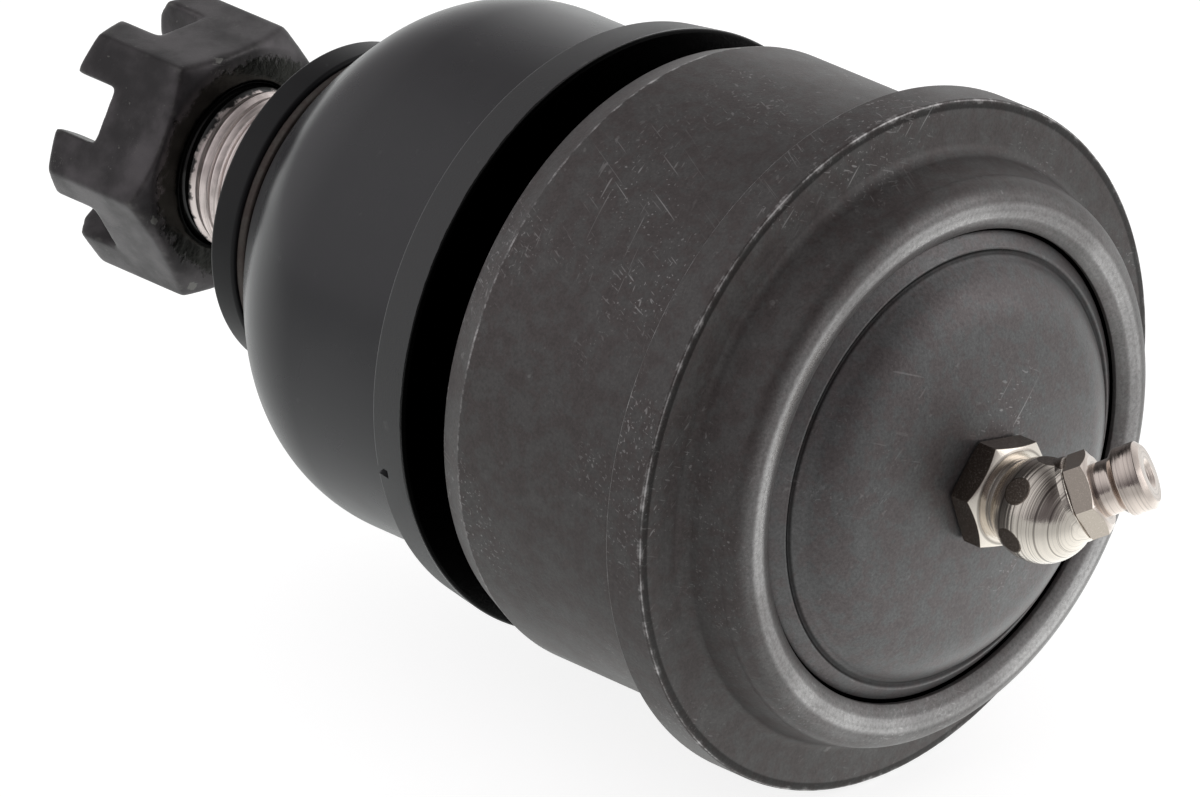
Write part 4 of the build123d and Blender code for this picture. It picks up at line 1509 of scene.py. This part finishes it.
@dataclass
class FittingGroup:
    """Angled grease fitting: hexagon and ball body, nipple and check ball."""

    hex_flats: float = 9.525
    hex_turn: float = -11.6
    hex_base: float = 24.1
    hex_thickness: float = 2.7
    hex_land: float = 4.45
    thread_radius: float = 3.145
    thread_length: float = 5.6
    neck_radius: float = 3.7
    ball_radius: float = 4.92
    ball_station: float = 30.7
    boss_radius: float = 4.05
    boss_end: float = 3.5
    lean: float = 45.0
    turn: float = 34.5
    nipple_hex: float = 7.14
    nipple_hex_end: float = 5.7
    nipple_land: float = 3.3
    nipple_neck: float = 2.55
    neck_end: float = 7.25
    head_radius: float = 3.25
    head_start: float = 7.9
    head_crown: float = 9.98
    face_radius: float = 2.70
    length: float = 10.46
    bore_radius: float = 1.35
    check_radius: float = 1.2
    coil_radius: float = 1.15
    coil_start: float = 1.8
    coil_end: float = 7.91
    coils: int = 6
    wire_radius: float = 0.18
    check_travel: float = 0.8

    def direction(self) -> Vector:
        """Direction that the nipple points in.

        Returns:
            The direction, of length 1.
        """
        lean, turn = math.radians(self.lean), math.radians(self.turn)
        side = math.sin(lean)
        return Vector((math.cos(lean), side * math.cos(turn), side * math.sin(turn)))

    def onto_nipple(self) -> Matrix:
        """Matrix that takes a shape made along +X onto the nipple's axis."""
        swing = Vector((1.0, 0.0, 0.0)).rotation_difference(self.direction()).to_matrix().to_4x4()
        return Matrix.Translation((self.ball_station * MM, 0.0, 0.0)) @ swing

    def hexagon(self, flats: float, start: float, end: float, lands: Point, turn: float) -> bpy.types.Object:
        """Short hexagon with turned ends, along +X.

        Args:
            flats: size across the flats.
            start: station of its lower end.
            end: station of its upper end.
            lands: radii of the flat part of the lower and upper ends.
            turn: turn about X in degrees.

        Returns:
            The hexagon.
        """
        corner = bar_corner(flats)
        piece = new_object("hexagon_blank", prism(6, corner, start, end, turn))
        low, high = lands
        envelope = [
            Corner(end + 1e-3, 0.0),
            Corner(end + 1e-3, high),
            Corner(end - (corner + 1 - high) * HEX_LEAN, corner + 1),
            Corner(start + (corner + 1 - low) * HEX_LEAN * 0.5, corner + 1),
            Corner(start - 1e-3, low),
            Corner(start - 1e-3, 0.0),
        ]
        machine(piece, solid_turned(envelope, 144), Cut.KEEP_COMMON)
        return piece

    def make_body(self) -> bpy.types.Object:
        """Cuts the body: shank, hexagon, and the ball with flats left from the bar.

        Returns:
            The piece.
        """
        base, station = self.hex_base, self.ball_station
        end = base + self.hex_thickness
        piece = self.hexagon(self.hex_flats, base, end, (5.2, self.hex_land), self.hex_turn)
        clean(piece)
        soften(piece, 0.10, 2)
        corner = bar_corner(self.hex_flats)
        ball = new_object("ball_blank", prism(6, corner, base, base + 16.0, self.hex_turn))
        globe = bmesh.new()
        placed = Matrix.Translation((station * MM, 0.0, 0.0))
        bmesh.ops.create_icosphere(globe, subdivisions=6, radius=self.ball_radius * MM, matrix=placed)
        machine(ball, globe, Cut.KEEP_COMMON)
        shank = [
            Corner(station, 0.0),
            Corner(station, self.neck_radius),
            Corner(end - 0.1, self.neck_radius + 0.25, 0.2),
            Corner(base + 0.3, self.thread_radius),
            Corner(base - self.thread_length, self.thread_radius, 0.4),
            Corner(base - self.thread_length, 0.0),
        ]
        machine(piece, solid_turned(shank, 96), Cut.ADD)
        tool = bmesh.new()
        tool.from_mesh(ball.data)
        bpy.data.objects.remove(ball)
        machine(piece, tool, Cut.ADD)
        boss = [
            Corner(0.0, 0.0),
            Corner(0.0, self.boss_radius),
            Corner(self.boss_end, self.boss_radius, 0.25),
            Corner(self.boss_end, 0.0),
        ]
        cap = [
            Corner(self.boss_end, 0.0),
            Corner(self.boss_end, 6.0),
            Corner(self.boss_end + 4.0, 6.0),
            Corner(self.boss_end + 4.0, 0.0),
        ]
        steps = (
            (solid_turned(boss, 96), Cut.ADD),
            (solid_turned(cap, 48), Cut.TAKE_AWAY),
            (self.bore(self.coil_start - 0.3, self.boss_end + 1.0), Cut.TAKE_AWAY),
        )
        for step, cut in steps:
            bmesh.ops.transform(step, verts=step.verts, matrix=self.onto_nipple())
            machine(piece, step, cut)
        piece.name = "fitting_elbow"
        return piece

    def bore(self, start: float, end: float) -> bmesh.types.BMesh:
        """Cutter for the bore that holds the spring, along +X.

        Args:
            start: station of its lower end.
            end: station of its upper end.

        Returns:
            The cutter.
        """
        radius = self.bore_radius
        corners = [Corner(start, 0.0), Corner(start, radius), Corner(end, radius), Corner(end, 0.0)]
        return solid_turned(corners, 48)

    def make_nipple(self) -> bpy.types.Object:
        """Returns:
            The piece.
        """
        start, end = self.boss_end + 0.02, self.nipple_hex_end
        piece = self.hexagon(self.nipple_hex, start, end, (3.85, self.nipple_land), self.turn + 90.0)
        clean(piece)
        soften(piece, 0.08, 2)
        head = [
            Corner(start + 0.2, 0.0),
            Corner(start + 0.2, self.nipple_neck),
            Corner(self.neck_end, self.nipple_neck, 0.5),
            Corner(self.head_start, self.head_radius, 0.3),
            Corner(self.head_crown, self.head_radius, 0.18),
            Corner(self.length, self.face_radius, 0.20),
            Corner(self.length, 1.40, 0.1),
            Corner(self.length - 0.6, 0.85),
            Corner(self.length - 0.9, 0.85),
            Corner(self.length - 1.4, self.bore_radius),
            Corner(self.length - 4.0, self.bore_radius),
            Corner(self.length - 4.0, 0.0),
        ]
        machine(piece, solid_turned(head, 96), Cut.ADD)
        machine(piece, self.bore(start - 1.0, self.length - 1.45), Cut.TAKE_AWAY)
        moved_onto(piece, self.onto_nipple())
        piece.name = "nipple_head"
        return piece

    def make_check_ball(self) -> bpy.types.Object:
        """Polished ball behind the nipple's port.

        Returns:
            The piece.
        """
        ball = bmesh.new()
        bmesh.ops.create_icosphere(ball, subdivisions=4, radius=self.check_radius * MM)
        low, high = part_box("check_ball")
        bmesh.ops.translate(ball, verts=ball.verts, vec=(Vector(low) + Vector(high)) / 2)
        return new_object("check_ball_polished", ball)

    def make_check_spring(self) -> bpy.types.Object:
        """Winds the spring that holds the check ball against its seat.

        Returns:
            The piece.
        """
        pitch = (self.coil_end - self.coil_start) / self.coils
        wire = bmesh.new()
        for number in range(self.coils):
            station = self.coil_start + number * pitch
            placed = Matrix.Translation((station * MM, 0.0, self.coil_radius * MM))
            placed = placed @ Matrix.Rotation(math.pi / 2, 4, "X")
            bmesh.ops.create_circle(wire, segments=10, radius=self.wire_radius * MM, matrix=placed)
        spin(wire, wire.verts[:] + wire.edges[:], 36, pitch)
        bmesh.ops.remove_doubles(wire, verts=wire.verts, dist=WELD_DISTANCE)
        bmesh.ops.holes_fill(wire, edges=[e for e in wire.edges if e.is_boundary])
        bmesh.ops.recalc_face_normals(wire, faces=wire.faces)
        spring = new_object("check_spring_coil", wire)
        moved_onto(spring, self.onto_nipple())
        return spring

    def build(self) -> None:
        """Makes and places the three pieces."""
        direction = tuple(self.direction())
        centre = (self.ball_station, 0.0, 0.0)
        across = math.radians(self.hex_turn + 30.0)
        body_metal = TurnedMetal(
            "fitting_nickel",
            (0.72, 0.665, 0.60),
            0.13,
            stain=0.10,
            pitch=0.32,
            depth=0.032,
            grooves=0.62,
            ball=self.ball_radius,
            centre=centre,
            flats=self.hex_flats,
            flat_normal=(0.0, math.cos(across), math.sin(across)),
        )
        side = Vector((1.0, 0.0, 0.0)).cross(self.direction()).normalized()
        side.rotate(Matrix.Rotation(math.radians(30.0), 3, self.direction()))
        nipple_metal = TurnedMetal(
            "nipple_nickel",
            (0.66, 0.58, 0.53),
            0.14,
            stain=0.15,
            pitch=0.30,
            depth=0.014,
            grooves=0.25,
            axis=direction,
            centre=centre,
            flats=self.nipple_hex,
            flat_normal=tuple(side),
            bar=(0.44, 0.39, 0.34),
        )
        ball_metal = TurnedMetal("check_ball_steel", (0.90, 0.82, 0.77), 0.50, pitch=0.4, depth=0.002)
        place_piece(self.make_body(), "housing", body_metal, "plated_fitting", "fitting_body")
        place_piece(self.make_nipple(), "housing", nipple_metal, "plated_fitting", "grease_nipple")
        place_piece(self.make_check_ball(), "check_ball", ball_metal, "bearing_steel", "check_ball")
        spring = self.make_check_spring()
        place_piece(spring, "housing", SPRING_STEEL, "spring_steel", "check_spring")
        held = self.onto_nipple() @ Vector((self.coil_start * MM, 0.0, 0.0))
        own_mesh(spring)


def dress_hidden_nodes() -> None:
    """Gives the pieces that stay inside the joint a plain steel finish."""
    bearing = TurnedMetal("bearing_ground_steel", (0.48, 0.47, 0.46), 0.30, pitch=0.5, depth=0.006)
    finishes = {
        "upper_bearing": bearing,
        "ball_seat": bearing,
        "preload_spring": SPRING_STEEL,
        "boot_insert_band": SPRING_STEEL,
    }
    for node, finish in finishes.items():
        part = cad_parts[node]
        part.data.materials.clear()
        part.data.materials.append(finish.make())


# ----------------------------------------------------------------- studio
@dataclass
class Studio:
    """Camera, pale floor and soft light."""

    lens: float = 540.16
    sensor: float = 36.0
    azimuth: float = 44.9514
    elevation: float = 25.7767
    position: tuple[float, float, float] = (1.040315, -1.068441, 0.720892)
    floor_size: float = 6.0
    room: Colour = (0.130, 0.116, 0.122)
    soft_room: Colour = (0.50, 0.485, 0.49)
    ceiling: Colour = (0.050, 0.042, 0.042)
    bright_side: Colour = (0.22, 0.86, -0.45)
    key_side: Colour = (-0.62, -0.60, 0.50)
    side_wall: Colour = (0.88, 0.87, 0.88)
    ceiling_height: Point = (0.50, 0.92)
    bright_reach: Point = (-0.35, 0.70)
    key_reach: Point = (0.25, 1.05)
    floor_gap: float = 0.0002
    paper: Colour = (0.86, 0.86, 0.86)
    shine: Colour = (0.975, 1.0, 0.985)
    shine_share: float = 0.6
    to_back: Colour = (-0.45, 0.90, 0.0)
    back_reach: Point = (-0.12, 0.10)
    back_levels: Point = (0.62, 1.25)
    pool_place: Point = (0.025, 0.045)
    pool_reach: Point = (0.125, 0.01)
    pool_levels: Point = (0.6, 2.15)
    white_level: float = 1.62
    white_share: float = 0.5
    box_place: Colour = (0.85, 0.90, 0.40)
    box_size: Point = (0.6, 0.8)
    box_radiance: float = 1.15

    def place_camera(self) -> None:
        """Sets the camera on its stand."""
        data = bpy.data.cameras.new("main_camera")
        data.lens = self.lens
        data.sensor_fit = "HORIZONTAL"
        data.sensor_width = self.sensor
        data.clip_start = 0.05
        data.clip_end = 20.0
        camera = bpy.data.objects.new("main_camera", data)
        bpy.context.scene.collection.objects.link(camera)
        camera.location = self.position
        camera.rotation_euler = (math.radians(90.0 - self.elevation), 0.0, math.radians(self.azimuth))
        bpy.context.scene.camera = camera

    def place_floor(self) -> None:
        """Lays a pale floor under the lowest point of the object, which glows for every ray but the camera's
        and so lights the object from below.
        """
        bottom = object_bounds()[0][2]
        mesh = bmesh.new()
        bmesh.ops.create_grid(mesh, x_segments=1, y_segments=1, size=self.floor_size / 2)
        bmesh.ops.translate(mesh, verts=mesh.verts, vec=(0.0, 0.0, bottom - self.floor_gap))
        floor = new_object("studio_floor", mesh)
        material = bpy.data.materials.new("floor_paper")
        material.use_nodes = True
        graph = Graph(material.node_tree)
        paper = graph.add("BsdfDiffuse", {"Color": self.paper})
        place = graph.add("TexCoord").outputs["Object"]
        towards_back = graph.along(place, self.to_back)
        behind = graph.blend(graph.ramp(towards_back, *self.back_reach), *self.back_levels)
        pool_centre = (*self.pool_place, bottom)
        away = graph.add("VectorMath", {0: place, 1: pool_centre}, operation="DISTANCE")
        pool = graph.blend(graph.ramp(away.outputs["Value"], *self.pool_reach), *self.pool_levels)
        # The floor glows for every ray but the camera's and lights the object from below, brighter towards
        # the back and in a pool close behind the object.
        strength = graph.math("MAXIMUM", behind, pool)
        floor_glow = graph.add("Emission", {"Color": self.shine, "Strength": strength})
        lit = graph.add("MixShader", {0: self.shine_share, 1: paper.outputs[0], 2: floor_glow.outputs[0]})
        white = graph.add("Emission", {"Color": WHITE, "Strength": self.white_level})
        shadowed = graph.add("MixShader", {0: self.white_share, 1: paper.outputs[0], 2: white.outputs[0]})
        seen = graph.add("LightPath").outputs["Is Camera Ray"]
        mixed = graph.add("MixShader", {0: seen, 1: lit.outputs[0], 2: shadowed.outputs[0]})
        graph.add("OutputMaterial", {"Surface": mixed.outputs[0]})
        floor.data.materials.append(material)
        floor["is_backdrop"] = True

    def set_world(self) -> None:
        """White surroundings for the camera, and a grey room for light and reflections."""
        world = bpy.data.worlds.new("studio_room")
        world.use_nodes = True
        bpy.context.scene.world = world
        graph = Graph(world.node_tree)
        ray = graph.add("LightPath")
        view = graph.add("TexCoord").outputs["Generated"]
        behind = graph.along(view, self.bright_side)
        height = graph.add("SeparateXYZ", {0: view}).outputs["Z"]
        mirrored = graph.mix(graph.ramp(height, *self.ceiling_height), self.room, self.ceiling)
        walls = graph.mix(ray.outputs["Is Glossy Ray"], self.soft_room, mirrored)
        room = graph.mix(graph.ramp(behind, *self.bright_reach), walls, WHITE)
        beside = graph.along(view, self.key_side)
        room = graph.mix(graph.ramp(beside, *self.key_reach), room, self.side_wall)
        seen = graph.mix(ray.outputs["Is Camera Ray"], room, WHITE)
        back = graph.add("Background", {"Color": seen, "Strength": 1.0})
        graph.add("OutputWorld", {"Surface": back.outputs[0]})

    def place_light(self, name: str, place: Colour, size: Point, radiance: float) -> None:
        """Hangs a soft box that faces the object.

        Args:
            name: the lamp's name.
            place: its place in metres.
            size: its width and height in metres.
            radiance: brightness of its surface, where 1 is white.
        """
        data = bpy.data.lights.new(name, "AREA")
        data.shape = "RECTANGLE"
        data.size, data.size_y = size
        data.energy = radiance * math.pi * size[0] * size[1]
        lamp = bpy.data.objects.new(name, data)
        bpy.context.scene.collection.objects.link(lamp)
        lamp.location = place
        lamp.rotation_euler = (-Vector(place)).to_track_quat("-Z", "Y").to_euler()
        lamp.visible_camera = False

    def build(self) -> None:
        """Sets up the whole studio."""
        bpy.context.scene.view_settings.view_transform = "Standard"
        self.place_camera()
        self.place_floor()
        self.set_world()
        self.place_light("right_box", self.box_place, self.box_size, self.box_radiance)


def main() -> None:
    """Builds the object and the studio."""
    logging.basicConfig(level=logging.INFO, format="%(message)s")
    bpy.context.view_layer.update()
    make_groups()
    HousingGroup().build()
    BootGroup().build()
    StudGroup().build()
    FittingGroup().build()
    dress_hidden_nodes()
    Studio().build()
    log.info("boxes written")


if __name__ == "__main__":
    main()
